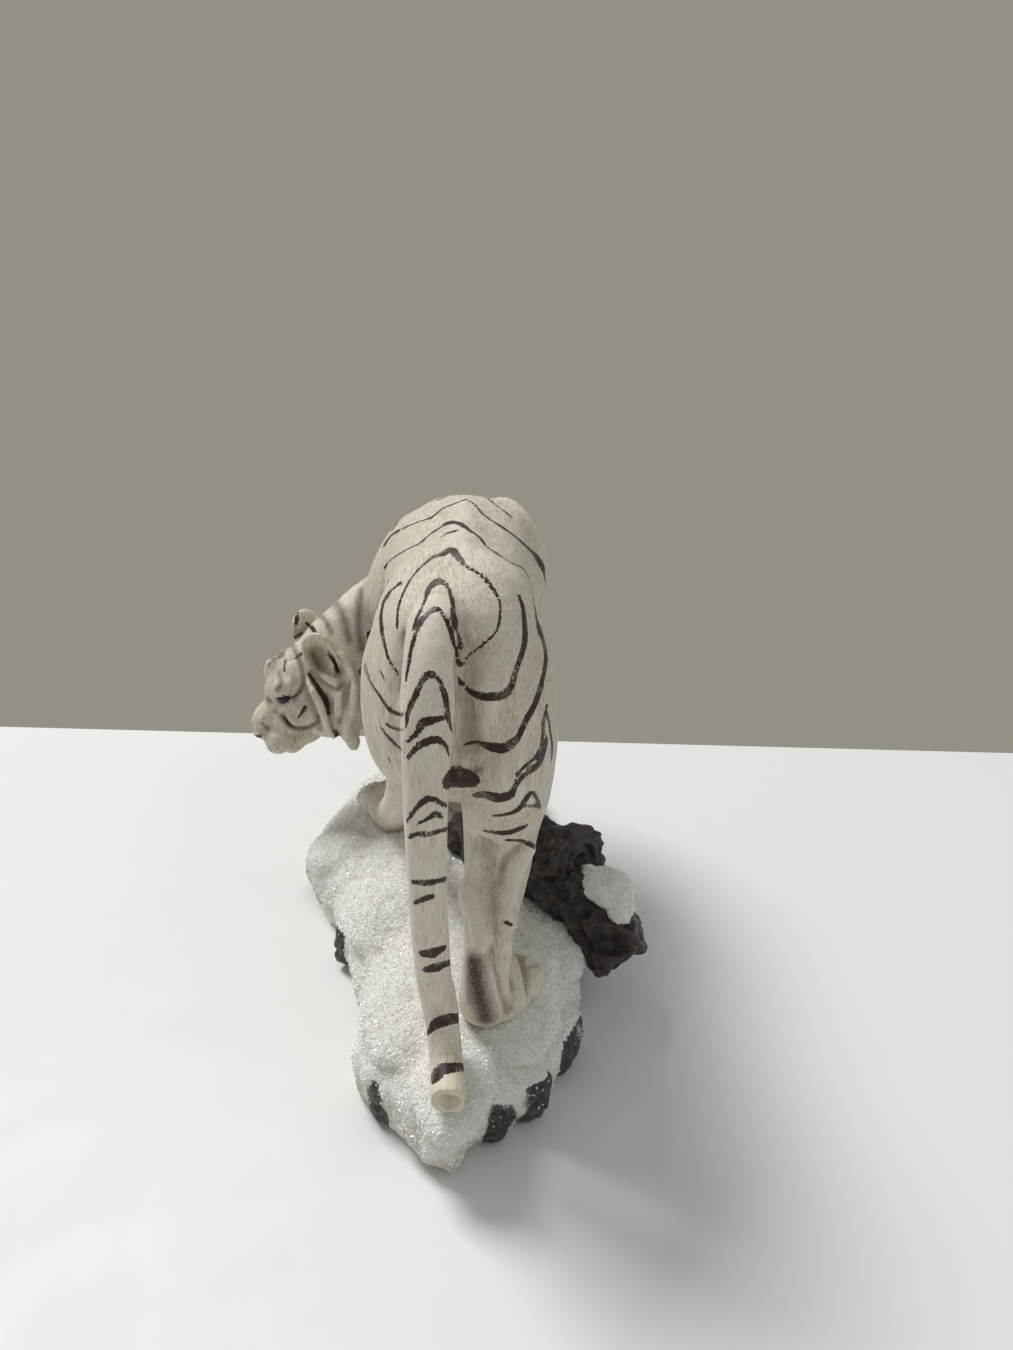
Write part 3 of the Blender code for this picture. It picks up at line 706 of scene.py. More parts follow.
def seen_paths(strokes):
    """Pixels with stroke widths become runs of spots on the skin with half widths, in millimetres."""
    runs = [[]]
    for x, y, width in smooth_rows(strokes, 14):
        ray = pixel_ray(x, y).normalized()
        hit, normal = tiger_tree.ray_cast(EYE_POINT, ray)[:2]
        if hit is None or (runs[-1] and (runs[-1][-1][0] - hit).length > LARGEST_STEP):
            runs.append([])
        if hit is not None and normal.dot(ray) < -MOST_SLANTED:
            runs[-1].append((hit, normal, width))
    paths = []
    for run in sorted(runs, key=len, reverse=True):
        paths.append([])
        for i, (hit, normal, width) in enumerate(run):
            way = run[min(i + 4, len(run) - 1)][0] - run[max(i - 4, 0)][0]
            sideways = normal.cross(way).normalized()
            shown = math.sqrt(max(0.0, 1 - sideways.dot((hit - EYE_POINT).normalized()) ** 2))
            depth = (hit - EYE_POINT).dot(look_ahead)
            paths[-1].append((*hit, BRUSH_GAIN * width / 2 * depth / FOCAL_PIXELS / max(shown, 0.25)))
    return paths


def seen_path(strokes):
    """The longest of the runs."""
    return seen_paths(strokes)[0]


def out_of_sight(path):
    """The longest stretch of a path that the camera can't see."""
    runs = [[]]
    for row in path:
        ray = Vector(row[:3]) - EYE_POINT
        first = tiger_tree.ray_cast(EYE_POINT, ray.normalized())[3]
        in_sight = first is not None and first > ray.length - 1.5
        if in_sight or (runs[-1] and math.dist(row[:3], runs[-1][-1][:3]) > LARGEST_HIDDEN_STEP):
            runs.append([])
        if not in_sight:
            runs[-1].append(row)
    return max(runs, key=len)


def mirrored(path):
    """A path on one side of the head, laid on the other side."""
    out = []
    for row in path:
        local = HEAD.inverted() @ Vector(row[:3])
        skin = tiger_tree.find_nearest(on_head(-local.x, local.y, local.z))[0]
        out.append((*skin, *row[3:]))
    return out


tiger_tree = skin_tree(tiger)


# %% Brush paths round a limb
def wrapped_path(rows, marks, ahead):
    """Marks of (share along, angle, half width) on a limb become spots on its skin."""
    table = smooth_rows(rows, 8)[:, :3]
    walk = np.linspace(0, 1, len(table))
    out = []
    for share, angle, half in smooth_rows(marks, 8):
        middle = Vector([np.interp(share, walk, table[:, k]) for k in range(3)])
        later = Vector([np.interp(min(share + 0.02, 1.0), walk, table[:, k]) for k in range(3)])
        sooner = Vector([np.interp(max(share - 0.02, 0.0), walk, table[:, k]) for k in range(3)])
        way = (later - sooner).normalized()
        front = (Vector(ahead) - way * way.dot(Vector(ahead))).normalized()
        side = way.cross(front)
        side = side if side.x > 0 else -side
        direction = front * math.cos(math.radians(angle)) + side * math.sin(math.radians(angle))
        skin = tiger_tree.ray_cast(middle, direction)[0]
        if skin is not None:
            out.append((*skin, half))
    return out


# %% Muscles and tendons that the photograph shows
BODY_RELIEF = (  # pixels along the form, its width and its depth; a negative depth stands out
    ([(487, 846), (492, 876), (494, 905)], 3.4, 1.3),
    ([(496, 925), (499, 945), (502, 962)], 2.4, 0.9),
    ([(475, 858), (471, 884), (474, 915), (480, 948)], 2.4, -1.3),
    ([(467, 893), (468, 900)], 3.2, -1.5),
    ([(528, 850), (516, 872), (508, 900)], 2.6, -1.3),
    ([(520, 846), (506, 862), (500, 884)], 1.4, 1.0),
    ([(506, 916), (511, 925)], 2.0, -1.3),
    ([(504, 934), (513, 966), (521, 1000)], 2.4, -1.2),
    ([(490, 952), (501, 985), (509, 1012)], 1.7, 1.3),
    ([(518, 953), (525, 974), (527, 994)], 1.5, 1.1),
    ([(471, 958), (470, 1000)], 2.6, -0.8),
    ([(478, 652), (474, 664)], 6.0, 2.4),
    ([(466, 686), (468, 716), (469, 745)], 3.2, 1.7),
    ([(487, 566), (508, 578)], 8.0, -1.6),
    ([(402, 640), (400, 690)], 3.0, 1.2),
    ([(466, 503), (462, 530), (456, 556)], 4.5, -1.0),
    ([(436, 566), (428, 580)], 8.0, 0.9),
    ([(492, 532), (506, 548)], 7.0, 0.9),
    ([(522, 522), (540, 548)], 7.0, -1.4),
    ([(488, 790), (520, 800)], 6.0, -1.0),
)
FACE_RELIEF = (
    ([(290, 667), (291, 676), (289, 684)], 2.2, -1.4),
    ([(279, 676), (278, 684)], 2.0, -1.2),
    ([(285, 660), (285, 672)], 0.9, 0.9),
    ([(298, 656), (303, 672), (303, 684), (299, 692)], 1.0, 1.2),
    ([(283, 716), (288, 724), (295, 728), (306, 728), (316, 723)], 1.0, 1.1),
    ([(298, 707), (301, 716)], 2.6, -1.2),
    ([(309, 674), (315, 683), (321, 692), (327, 702), (331, 716), (335, 732)], 1.3, 1.9),
    ([(303, 686), (309, 698), (315, 712), (320, 730)], 1.2, 1.5),
    ([(314, 690), (321, 706), (327, 724)], 1.6, -1.0),
    ([(327, 652), (334, 661), (338, 672)], 1.1, 1.7),
    ([(317, 654), (318, 664)], 2.7, 1.9),
    ([(311, 672), (322, 683), (335, 689), (344, 684)], 1.2, 1.5),
    ([(313, 667), (324, 676), (336, 681)], 1.3, -0.9),
    ([(348, 684), (346, 698), (344, 712), (338, 722)], 1.2, 1.5),
    ([(341, 694), (337, 706), (334, 716)], 1.4, -0.9),
    ([(354, 690), (353, 706), (349, 722), (345, 738)], 1.5, -1.1),
    ([(262, 718), (266, 728), (274, 737)], 1.4, -0.5),
)
BODY_GAIN = 1.35

for pixels, width, depth in BODY_RELIEF:
    carve(tiger, seen_path([(x, y, 1) for x, y in pixels]), width, depth * BODY_GAIN)
for pixels, width, depth in FACE_RELIEF:
    path = seen_path([(x, y, 1) for x, y in pixels])
    carve(tiger, path, width, depth)
    carve(tiger, mirrored(path), width, depth)
carve(tiger, [on_head(0, -17, 16), on_head(2, -26, 15), on_head(4, -33, 14)], 7.0, -2.6)
tiger.settle()
print(len(BODY_RELIEF) + len(FACE_RELIEF), "forms carved from the photograph")


# %% [markdown]
# ## Fur relief
#
# The sculptor combed shallow lines into the clay. They run along the back and down the
# legs. A stretched noise lifts and lowers the skin by about a tenth of a millimetre; the
# finer hairs are left to the material's bump.

# %% Combed fur
FUR_LIFT = 0.19
MUSCLE_LIFT = 0.35

along_back = np.clip((tiger.normals[:, 2] - 0.25) * 2.0, 0, 1)
head_gap = np.linalg.norm(tiger.points - np.array(HEAD_PLACE), axis=1)
on_the_head = np.clip((34.0 - head_gap) / 8.0, 0, 1)
lines = (tiger.noise_field(1.5, 3.0, (1, 7, 1)) * along_back
         + tiger.noise_field(1.5, 9.0, (1, 1, 7)) * (1 - along_back))
muscles = tiger.noise_field(15.0, 5.0, (1, 1, 1.6))
lift = FUR_LIFT * lines * (1 - 0.5 * on_the_head) + MUSCLE_LIFT * muscles * (1 - on_the_head)
tiger.points += tiger.normals * lift[:, None]
tiger.settle()
tiger_tree = skin_tree(tiger)
print("fur combed, deepest line", round(float(lift.min()), 2), "mm")

# %% [markdown]
# ## The stripes that the photograph shows
#
# Each stroke is a row of (x, y, width) in pixels, read along the middle of the painted
# line. The brush was pressed harder in some places, so the width changes along a stroke.

# %% Strokes on the back and rump
BACK_STROKES = (
    [(466, 499, 2), (474, 504, 3), (484, 515, 3.5), (496, 523, 3), (508, 531, 3), (518, 539, 5),
     (528, 548, 6), (536, 557, 6), (543, 568, 5.5), (545, 578, 4), (546, 589, 2)],
    [(466, 499, 3), (456, 503, 2.5), (442, 509, 3), (432, 517, 3), (418, 522, 2.5), (404, 528, 3),
     (392, 535, 3), (385, 544, 4)],
    [(432, 501, 2), (439, 499, 3.5), (446, 497, 2)],
    [(410, 512, 2), (400, 520, 2.5), (392, 530, 2)],
    [(483, 495, 2), (492, 502, 3), (504, 511, 2.5), (509, 515, 2)],
    [(384, 568, 2.5), (392, 559, 2.5), (406, 550, 3), (418, 544, 3), (428, 536, 3.5), (438, 529, 4),
     (448, 524, 6), (458, 523, 8), (468, 529, 6.5), (480, 538, 5), (486, 546, 4), (498, 554, 3.5),
     (510, 562, 2.5), (522, 568, 2), (529, 578, 2), (532, 592, 3), (535, 608, 4), (538, 624, 4.5),
     (543, 640, 5), (546, 656, 6), (544, 672, 5), (540, 690, 5.5), (534, 706, 5.5), (526, 720, 5),
     (520, 734, 5.5), (514, 742, 7), (504, 748, 8.5), (492, 747, 8), (480, 743, 4), (470, 742, 3),
     (464, 746, 2)],
    [(440, 538, 2), (448, 533, 3), (457, 530, 4)],
    [(397, 628, 2), (398, 610, 2.5), (402, 596, 2.5), (410, 580, 2.5), (420, 568, 2.5), (432, 558, 3),
     (444, 553, 4.5), (452, 550, 7), (458, 557, 6.5), (466, 566, 4), (478, 573, 3), (488, 582, 4),
     (496, 594, 3.5), (500, 604, 3), (500, 618, 2.5), (496, 632, 2), (486, 642, 2), (476, 650, 2),
     (468, 656, 1.5), (463, 666, 1.5)],
    [(519, 596, 2.5), (523, 608, 4), (525, 624, 5), (525, 640, 6), (521, 656, 5), (516, 670, 4.5),
     (512, 684, 5), (505, 694, 7), (492, 697, 7.5), (480, 696, 6), (468, 690, 4.5), (463, 682, 2)],
    [(399, 584, 3), (390, 592, 3), (383, 604, 4), (381, 618, 5), (382, 632, 5.5), (385, 646, 3.5),
     (389, 660, 2.5), (398, 674, 1.5)],
    [(365, 664, 2), (371, 682, 3), (381, 698, 3), (391, 711, 4.5), (403, 715, 4)],
    [(380, 670, 1.5), (382, 675, 2.5), (386, 681, 1.5)],
    [(386, 724, 2), (393, 728, 3.5), (403, 730, 3)],
    [(381, 728, 2), (390, 739, 3), (402, 750, 2)],
    [(389, 758, 3), (390, 762, 3)],
    [(547, 706, 3), (544, 720, 3.5), (543, 734, 3), (540, 750, 2.5), (538, 760, 2)],
    [(547, 712, 2), (550, 730, 3), (552, 748, 3), (551, 760, 2)],
    [(448, 780, 18), (458, 779, 20), (467, 781, 15)],
)

# %% Strokes on the tail
TAIL_STROKES = (
    [(413, 628, 2.5), (418, 616, 3), (425, 600, 3.5), (429, 589, 5), (438, 582, 6.5), (447, 586, 4),
     (452, 600, 4.5), (454, 616, 6), (457, 630, 4), (460, 644, 4.5), (461, 654, 2)],
    [(406, 680, 2), (409, 660, 3), (413, 642, 3.5), (418, 628, 3.5), (426, 616, 4), (435, 609, 5.5),
     (442, 613, 4), (449, 626, 4), (454, 642, 5), (457, 658, 4), (459, 672, 3), (460, 686, 2)],
    [(406, 728, 2), (409, 710, 4), (416, 694, 5), (423, 680, 5), (431, 674, 6.5), (439, 680, 4),
     (444, 692, 5), (447, 706, 5), (449, 720, 4.5), (452, 731, 2)],
    [(444, 718, 4), (434, 720, 6), (423, 723, 8), (416, 734, 5), (407, 742, 3)],
    [(449, 756, 2), (446, 746, 4), (438, 740, 6), (426, 742, 7), (416, 748, 5), (408, 758, 4)],
    [(407, 821, 3), (415, 810, 4), (424, 801, 5), (433, 799, 5), (447, 806, 3)],
    [(417, 824, 2), (429, 818, 3.5), (436, 814, 5), (443, 818, 3)],
    [(409, 837, 4), (419, 834, 4.5), (429, 834, 4.5), (447, 829, 4)],
    [(412, 882, 4.5), (428, 883, 5.5), (446, 879, 4.5)],
    [(415, 903, 3.5), (424, 899, 5), (433, 896, 3)],
    [(422, 954, 6), (433, 953, 8), (445, 948, 4.5)],
    [(426, 970, 5), (438, 967, 7.5), (451, 962, 5.5)],
    [(427, 1034, 3), (435, 1025, 8), (445, 1020, 9.5), (460, 1018, 8)],
    [(436, 1075, 10), (441, 1070, 10), (449, 1068, 8.5), (463, 1067, 7)],
)

# %% Strokes on the near hind leg
LEG_STROKES = (
    [(474, 796, 5), (483, 795, 7), (497, 798, 8.5), (510, 795, 7), (517, 783, 4.5), (526, 774, 4),
     (538, 765, 4.5), (544, 751, 4), (546, 740, 3)],
    [(516, 775, 3), (524, 767, 3), (535, 758, 3), (541, 747, 3)],
    [(493, 816, 2.5), (508, 814, 4), (519, 809, 4.5), (526, 799, 5), (531, 793, 4.5), (536, 797, 4),
     (540, 808, 4)],
    [(524, 806, 4), (538, 806, 3.5)],
    [(484, 831, 2), (503, 833, 4), (517, 830, 4), (526, 826, 2.5)],
    [(507, 840, 2.5), (522, 841, 4.5), (536, 847, 4.5)],
    [(504, 921, 3), (511, 925, 4)],
)
print(len(BACK_STROKES) + len(TAIL_STROKES) + len(LEG_STROKES), "strokes read from behind")

# %% Strokes on the head
HEAD_STROKES = (
    [(306, 623, 2), (312, 628, 3.5), (316, 634, 3.5), (321, 640, 2.5)],
    [(301, 634, 2.5), (296, 637, 3), (291, 641, 2.5)],
    [(285, 661, 2), (285, 670, 2.5)],
    [(284, 696, 2.5), (289, 698, 2), (297, 695, 1.5)],
    [(305, 707, 3.5), (303, 711, 3), (298, 718, 1.5)],
    [(309, 674, 2.5), (315, 683, 3.5), (320, 691, 4.5), (326, 701, 5), (328, 713, 3.5)],
    [(328, 654, 2.5), (334, 661, 3.5), (338, 671, 3)],
    [(285, 718, 2), (290, 724, 2.5), (293, 727, 1.5)],
)
FAR_EAR_STROKE = [(297, 609, 2.5), (297, 616, 3.5), (296, 624, 2.5)]
RUFF_SPOT = [(335, 731, 4), (337, 735, 5)]

# %% Soft purple-grey strokes
SMOKE_STROKES = (
    [(284, 651, 2), (276, 658, 3), (269, 665, 2)],
    [(292, 641, 2), (288, 646, 3), (283, 651, 2)],
    [(294, 649, 2), (298, 657, 3), (302, 671, 3), (303, 682, 3), (300, 691, 2), (294, 699, 2)],
    [(282, 716, 3), (288, 724, 3), (295, 728, 3), (306, 728, 3), (317, 723, 2.5), (318, 716, 2)],
    [(277, 690, 2), (281, 683, 2), (279, 672, 2)],
    [(266, 699, 3), (271, 701, 3)],
    [(262, 724, 2), (268, 729, 2)],
    [(318, 664, 2), (312, 655, 2)],
    [(335, 603, 6), (341, 611, 8), (346, 627, 8), (349, 640, 5)],
    [(361, 590, 6), (359, 611, 8), (359, 630, 8), (362, 650, 5)],
    [(364, 667, 2), (372, 687, 2)],
    [(316, 614, 3), (325, 620, 4), (331, 632, 3)],
    [(470, 773, 5), (479, 770, 6)],
)

# %% [markdown]
# ## The stripes on the hidden sides
#
# The photograph shows the tiger from behind only. The flanks, the shoulders, the chest and
# the far legs get stripes in the same hand: thin at both ends, thick in the middle, now and
# then broken in two or forked. Angles run from 0 at the spine to 180 under the belly, and
# on a leg from 0 in front to 180 behind; plus is the right side and minus the left.

# %% Stripes round the torso
def torso_strokes():
    strokes = []
    for side in (-1, 1):
        for i, share in enumerate(np.linspace(0.365, 0.70, 7)):
            sway = 0.012 * math.sin(i * 2.3 + side)
            top = 4.0 + 7.0 * (i % 2)
            strokes.append([(share + 0.010, side * top, 0.5), (share - 0.004, side * 34, 1.3),
                            (share - 0.012 + sway, side * 62, 1.7), (share - 0.006, side * 86, 1.4),
                            (share + 0.004 - sway, side * 104, 0.5)])
            strokes.append([(share + 0.026, side * 96, 0.5), (share + 0.020 + sway, side * 116, 1.2),
                            (share + 0.012, side * 138, 1.1), (share + 0.016, side * 158, 0.4)])
            if i % 2 == 0:
                strokes.append([(share + 0.022, side * 22, 0.4), (share + 0.024, side * 44, 1.0),
                                (share + 0.016, side * 66, 0.4)])
    return strokes


# %% Stripes round the legs
def hind_leg_strokes(side):
    """On the outer and front faces of a thigh and shank."""
    strokes = []
    for i, share in enumerate((0.10, 0.19, 0.28, 0.37)):
        strokes.append([(share + 0.030, side * 128, 0.6), (share + 0.006, side * 96, 1.6),
                        (share - 0.012, side * 62, 1.7), (share + 0.004, side * 28, 1.2),
                        (share + 0.036, side * 4, 0.4)])
        if i % 2:
            strokes.append([(share + 0.052, side * 88, 0.4), (share + 0.038, side * 66, 1.0),
                            (share + 0.044, side * 40, 0.4)])
    for share in (0.47, 0.55, 0.63):
        strokes.append([(share + 0.012, side * 118, 0.5), (share, side * 84, 1.3), (share, side * 48, 1.3),
                        (share + 0.012, side * 12, 0.4)])
    return strokes


def fore_leg_strokes(side):
    strokes = []
    for share in (0.45, 0.55, 0.65, 0.75):
        strokes.append([(share - 0.015, side * -48, 0.4), (share, side * 10, 1.2),
                        (share + 0.004, side * 60, 1.5), (share - 0.008, side * 110, 1.1),
                        (share - 0.016, side * 150, 0.4)])
    return strokes


# %% Stripes round the neck
def neck_strokes():
    strokes = []
    for i, share in enumerate((0.30, 0.44, 0.58, 0.72)):
        far = 62 + 12 * (i % 2)
        strokes.append([(share, 12, 0.5), (share + 0.010, 40, 1.5), (share + 0.004, far, 1.6),
                        (share - 0.01, far + 34, 0.5)])
        strokes.append([(share, -60, 0.5), (share + 0.010, -85, 1.3), (share - 0.01, -118, 0.5)])
    return strokes


print(len(torso_strokes()), "stripes round the torso")

# %% [markdown]
# ## Putting the brush to the skin
#
# A texture would need an unwrapped surface. Instead, every point of the mesh learns the way
# to the middle of the nearest stroke and how wide that stroke is there. The material
# compares the two, which gives an edge as sharp as the render, and roughens it with noise
# for the dry-brush look.

# %% Gather the dark strokes
dark = []
for stroke in (*BACK_STROKES, *TAIL_STROKES, *LEG_STROKES, FAR_EAR_STROKE, RUFF_SPOT):
    dark.extend(seen_paths(stroke))
for stroke in HEAD_STROKES:
    path = seen_path(stroke)
    dark.append(path)
    dark.append(out_of_sight(mirrored(path)))
right_hind, left_hind = hind_leg_rows()
right_fore, left_fore = fore_leg_rows()
UPWARDS = (0, 0, 1)
FORWARDS = (0, 1, 0)
for rows, marks, ahead in (
    (torso_rows, torso_strokes(), UPWARDS), (neck_rows(), neck_strokes(), UPWARDS),
    (right_hind, hind_leg_strokes(1), FORWARDS), (left_hind, hind_leg_strokes(-1), FORWARDS),
    (right_fore, fore_leg_strokes(1), FORWARDS), (left_fore, fore_leg_strokes(-1), FORWARDS),
):
    for mark in marks:
        dark.append(out_of_sight(wrapped_path(rows, mark, ahead)))

# %% Marks on both sides of the face
FACE_MARKS = (  # x, y and z on the right of the head, and half width
    [(5.4, -2.0, 16.6, 0.3), (5.8, -6.0, 16.8, 0.9), (5.0, -10.0, 16.4, 0.4)],
    [(1.4, 28.4, -1.9, 0.3), (2.9, 27.5, -1.6, 0.55), (3.9, 26.0, -0.7, 0.3)],
    [(0.0, 28.6, -4.2, 0.2), (0.0, 28.0, -8.2, 0.3), (3.2, 27.6, -9.8, 0.3), (6.8, 24.2, -11.0, 0.25),
     (10.2, 18.5, -10.6, 0.3), (12.0, 13.5, -9.0, 0.2)],
)
for mark in FACE_MARKS:
    for side in (-1, 1):
        row = [(*on_head(side * x, y, z), half) for x, y, z, half in smooth_rows(mark, 5)]
        dark.append([(*tiger_tree.find_nearest(Vector(p[:3]))[0], p[3]) for p in row])
for side in (-1, 1):
    for line in range(3):
        for dot in range(4):
            place = on_head(side * (4.2 + 1.7 * dot), 27.4 - 1.3 * dot, -4.6 - 1.7 * line)
            skin = tiger_tree.find_nearest(place)[0]
            dark.append([(*skin, 0.2), (*(skin + Vector((0, 0, 0.05))), 0.2)])
dark = [dense(path, 0.25) for path in dark if len(path) > 1]
print(len(dark), "dark strokes in all")

# %% Store the way to the nearest stroke
FAR_AWAY = 6.0

samples = np.vstack(dark)
tree = KDTree(len(samples))
for i, sample in enumerate(samples):
    tree.insert(sample[:3], i)
tree.balance()
way_to = np.zeros_like(tiger.points)
gap_to = np.full(len(tiger.points), FAR_AWAY)
half_of = np.full(len(tiger.points), 0.5)
for i, point in enumerate(tiger.points):
    found, index, gap = tree.find(point)
    if gap < FAR_AWAY:
        way_to[i] = np.array(found) - point
        gap_to[i] = gap
        half_of[i] = samples[index, 3]
    else:
        way_to[i] = (FAR_AWAY, 0, 0)
tiger.store("stroke_way", way_to)
tiger.store("stroke_gap", gap_to)
tiger.store("stroke_half", half_of)
print("points near a stroke:", int((gap_to < half_of).sum()))


# %% [markdown]
# ## Soft washes
#
# Thin paint was also rubbed on: olive inside the ears, purple-grey on the face and neck,
# brown on the heels, pink on the nose, smoky brown on the brow. Five masks hold where these
# washes lie, and a sixth where the resin of the snapped tail tip is bare.

# %% Wash masks
def wash(form, path, reach, strength=1.0):
    """1 on a path, fading to 0 at reach."""
    mask = np.zeros(len(form.points))
    chosen, gaps = points_round(form, path, reach)
    mask[chosen] = strength * np.clip(1 - gaps / reach, 0, 1)
    return mask


def washes(form, paths, reach, strength=1.0):
    """The strongest of the washes along several paths."""
    return np.max([wash(form, path, reach, strength) for path in paths], axis=0)


dish = seen_path([(313, 652, 1), (317, 660, 1), (320, 668, 1)])
olive = washes(tiger, [dish, mirrored(dish)], 5.2)
grey = washes(tiger, both_sides([(3.0, 12.0, 11.0), (7.0, 5.0, 14.5)]), 7.5, 0.75)
cheeks = both_sides([(11.5, 9.0, 8.0), (14.0, 4.0, 2.0), (12.0, 10.0, -2.0)])
grey = np.maximum(grey, washes(tiger, cheeks, 6.0, 0.6))
smoke = washes(tiger, both_sides([(3.0, 7.0, 15.0), (4.2, 1.0, 16.8), (3.6, -4.0, 17.2)]), 1.7)
for stroke in SMOKE_STROKES:
    path = seen_path(stroke)
    reach = path[len(path) // 2][3] + 0.9
    smoke = np.maximum(smoke, wash(tiger, path, reach))
    if path[0][1] < HEAD_PLACE[1] and path[0][0] < -30:
        smoke = np.maximum(smoke, wash(tiger, mirrored(path), reach))
pink = washes(tiger, [[on_head(0, 27.5, -0.6), on_head(0, 28.6, -2.6)]], 3.4)
heel_path = seen_path([(474, 962, 3), (478, 990, 8), (486, 1020, 8)])
heel = washes(tiger, [heel_path], 4.6)
waxy = np.clip((8.6 - np.linalg.norm(tiger.points - np.array(tail_tip), axis=1)) / 1.6, 0, 1)
for name, mask in (("olive_wash", olive), ("grey_wash", grey), ("smoke_wash", smoke), ("pink_wash", pink),
                   ("heel_wash", heel), ("bare_resin", waxy)):
    tiger.store(name, mask)
tiger.store("crease", np.clip(tiger.hollows(5) / 0.5, -1, 1))
tiger.store("along_back", along_back)
print("washes stored")

# %% [markdown]
# ## The rock and its snow
#
# A low stack of outlines makes the rock. Snow drifts are flattened balls, and bare plates
# stick out under them along the rim. Fused and smoothed, they take a rough of their own:
# soft lumps on the snow, sharp ridges where the stone is bare.

# %% Outline of the rock
def base_outline():
    """The rock's outline as shares of its half width and half length, tip first."""
    return [
        (0.24, -1.00), (0.34, -0.91), (0.52, -0.87), (0.66, -0.80), (0.80, -0.69),
        (0.90, -0.50), (0.97, -0.26), (0.88, 0.00), (0.74, 0.23), (0.72, 0.52),
        (0.66, 0.79), (0.42, 0.96), (0.05, 1.00), (-0.34, 0.91), (-0.62, 0.74),
        (-0.82, 0.56), (-0.94, 0.28), (-0.98, 0.15), (-0.72, -0.06), (-0.52, -0.30),
        (-0.37, -0.53), (-0.37, -0.71), (-0.26, -0.80), (-0.02, -0.91), (0.12, -0.97),
    ]


def outline_ring(bm, shrink, height, wobble=0.0):
    points = smooth_rows(base_outline() + base_outline()[:1], 3)[:-1]
    ring = []
    for i, (x, y) in enumerate(points):
        push = shrink + wobble * math.sin(i * 2.4)
        ring.append(bm.verts.new((BASE_MIDDLE_X + x * BASE_WIDTH / 2 * push,
                                  y * BASE_LENGTH / 2 * (1 - (1 - push) * 0.6), height)))
    return ring


def add_rock(bm):
    rings = [
        outline_ring(bm, 0.90, 0.0), outline_ring(bm, 0.94, 2.0, 0.010),
        outline_ring(bm, 0.99, RIM_HEIGHT * 0.55, 0.012), outline_ring(bm, 0.97, RIM_HEIGHT, 0.012),
        outline_ring(bm, 0.84, (RIM_HEIGHT + SNOW_TOP) / 2 + 1.0),
        outline_ring(bm, 0.60, SNOW_TOP - 2.0), outline_ring(bm, 0.30, SNOW_TOP - 1.0),
    ]
    count = len(rings[0])
    for low, high in zip(rings, rings[1:]):
        for k in range(count):
            bm.faces.new((low[k], low[(k + 1) % count], high[(k + 1) % count], high[k]))
    bm.faces.new(list(reversed(rings[0])))
    bm.faces.new(rings[-1])


# %% Drifts and plates
def add_snow(bm):
    for heel, heading in paw_places():
        turned = Matrix.Rotation(math.radians(heading), 4, "Z")
        place = Matrix.Translation(Vector(heel)) @ turned
        middle = place @ Vector((0, PAW_LENGTH * 0.32, 1.5 - DRIFT_DEPTH))
        add_ball(bm, middle, (PAW_WIDTH * 0.80, PAW_LENGTH * 0.64, DRIFT_DEPTH), turned)
    for paw, aside, forward, size in ((0, 0.10, 0.88, 0.44), (0, 0.42, 0.62, 0.26), (1, -0.05, 0.82, 0.44)):
        heel, heading = paw_places()[paw]
        turned = Matrix.Rotation(math.radians(heading), 4, "Z")
        place = Matrix.Translation(Vector(heel)) @ turned
        middle = place @ Vector((aside * PAW_WIDTH, forward * PAW_LENGTH, 1.0))
        add_ball(bm, middle, (PAW_WIDTH * size, PAW_WIDTH * size * 0.8, 5.0), turned)
    add_ball(bm, (tail_tip.x, tail_tip.y + 20, SNOW_TOP - 6), (12, 24, 7.2))
    for x, y, z, wide, long, high in (
        (-0.70, 0.14, 0.74, 12, 13, 7), (-0.34, -0.20, 0.84, 13, 20, 6),
        (-0.08, -0.62, 0.84, 13, 20, 6), (0.52, -0.66, 0.86, 13, 14, 6),
        (0.40, 0.40, 0.86, 14, 22, 6), (-0.30, 0.50, 0.72, 13, 18, 7),
        (0.74, -0.32, 0.80, 12, 18, 6), (0.10, 0.82, 0.72, 20, 12, 7),
        (-0.15, 0.12, 0.88, 20, 24, 5),
    ):
        middle = (BASE_MIDDLE_X + x * BASE_WIDTH / 2, y * BASE_LENGTH / 2, z * SNOW_TOP)
        add_ball(bm, middle, (wide, long, high))


def plate_matrices():
    """Placing of each bare rock plate along the rim, from a unit ball."""
    out = []
    for x, y, heading, wide in (
        (0.84, -0.58, 66.0, 11), (0.62, -0.78, 36.0, 8), (0.42, -0.85, 8.0, 7),
        (-0.18, -0.79, -42.0, 5), (-0.90, 0.17, -78.0, 5), (-0.58, -0.20, -60.0, 4),
        (0.68, 0.50, 86.0, 12), (0.36, 0.88, 152.0, 9),
    ):
        place = Vector((BASE_MIDDLE_X + x * BASE_WIDTH / 2, y * BASE_LENGTH / 2, RIM_HEIGHT * 0.55))
        lean = Matrix.Rotation(math.radians(heading), 4, "Z")
        out.append(Matrix.Translation(place) @ lean @ Matrix.Diagonal((wide, 3.6, RIM_HEIGHT * 0.53, 1.0)))
    return out


# %% Fuse and roughen the ground
GROUND_GRAIN = 0.9

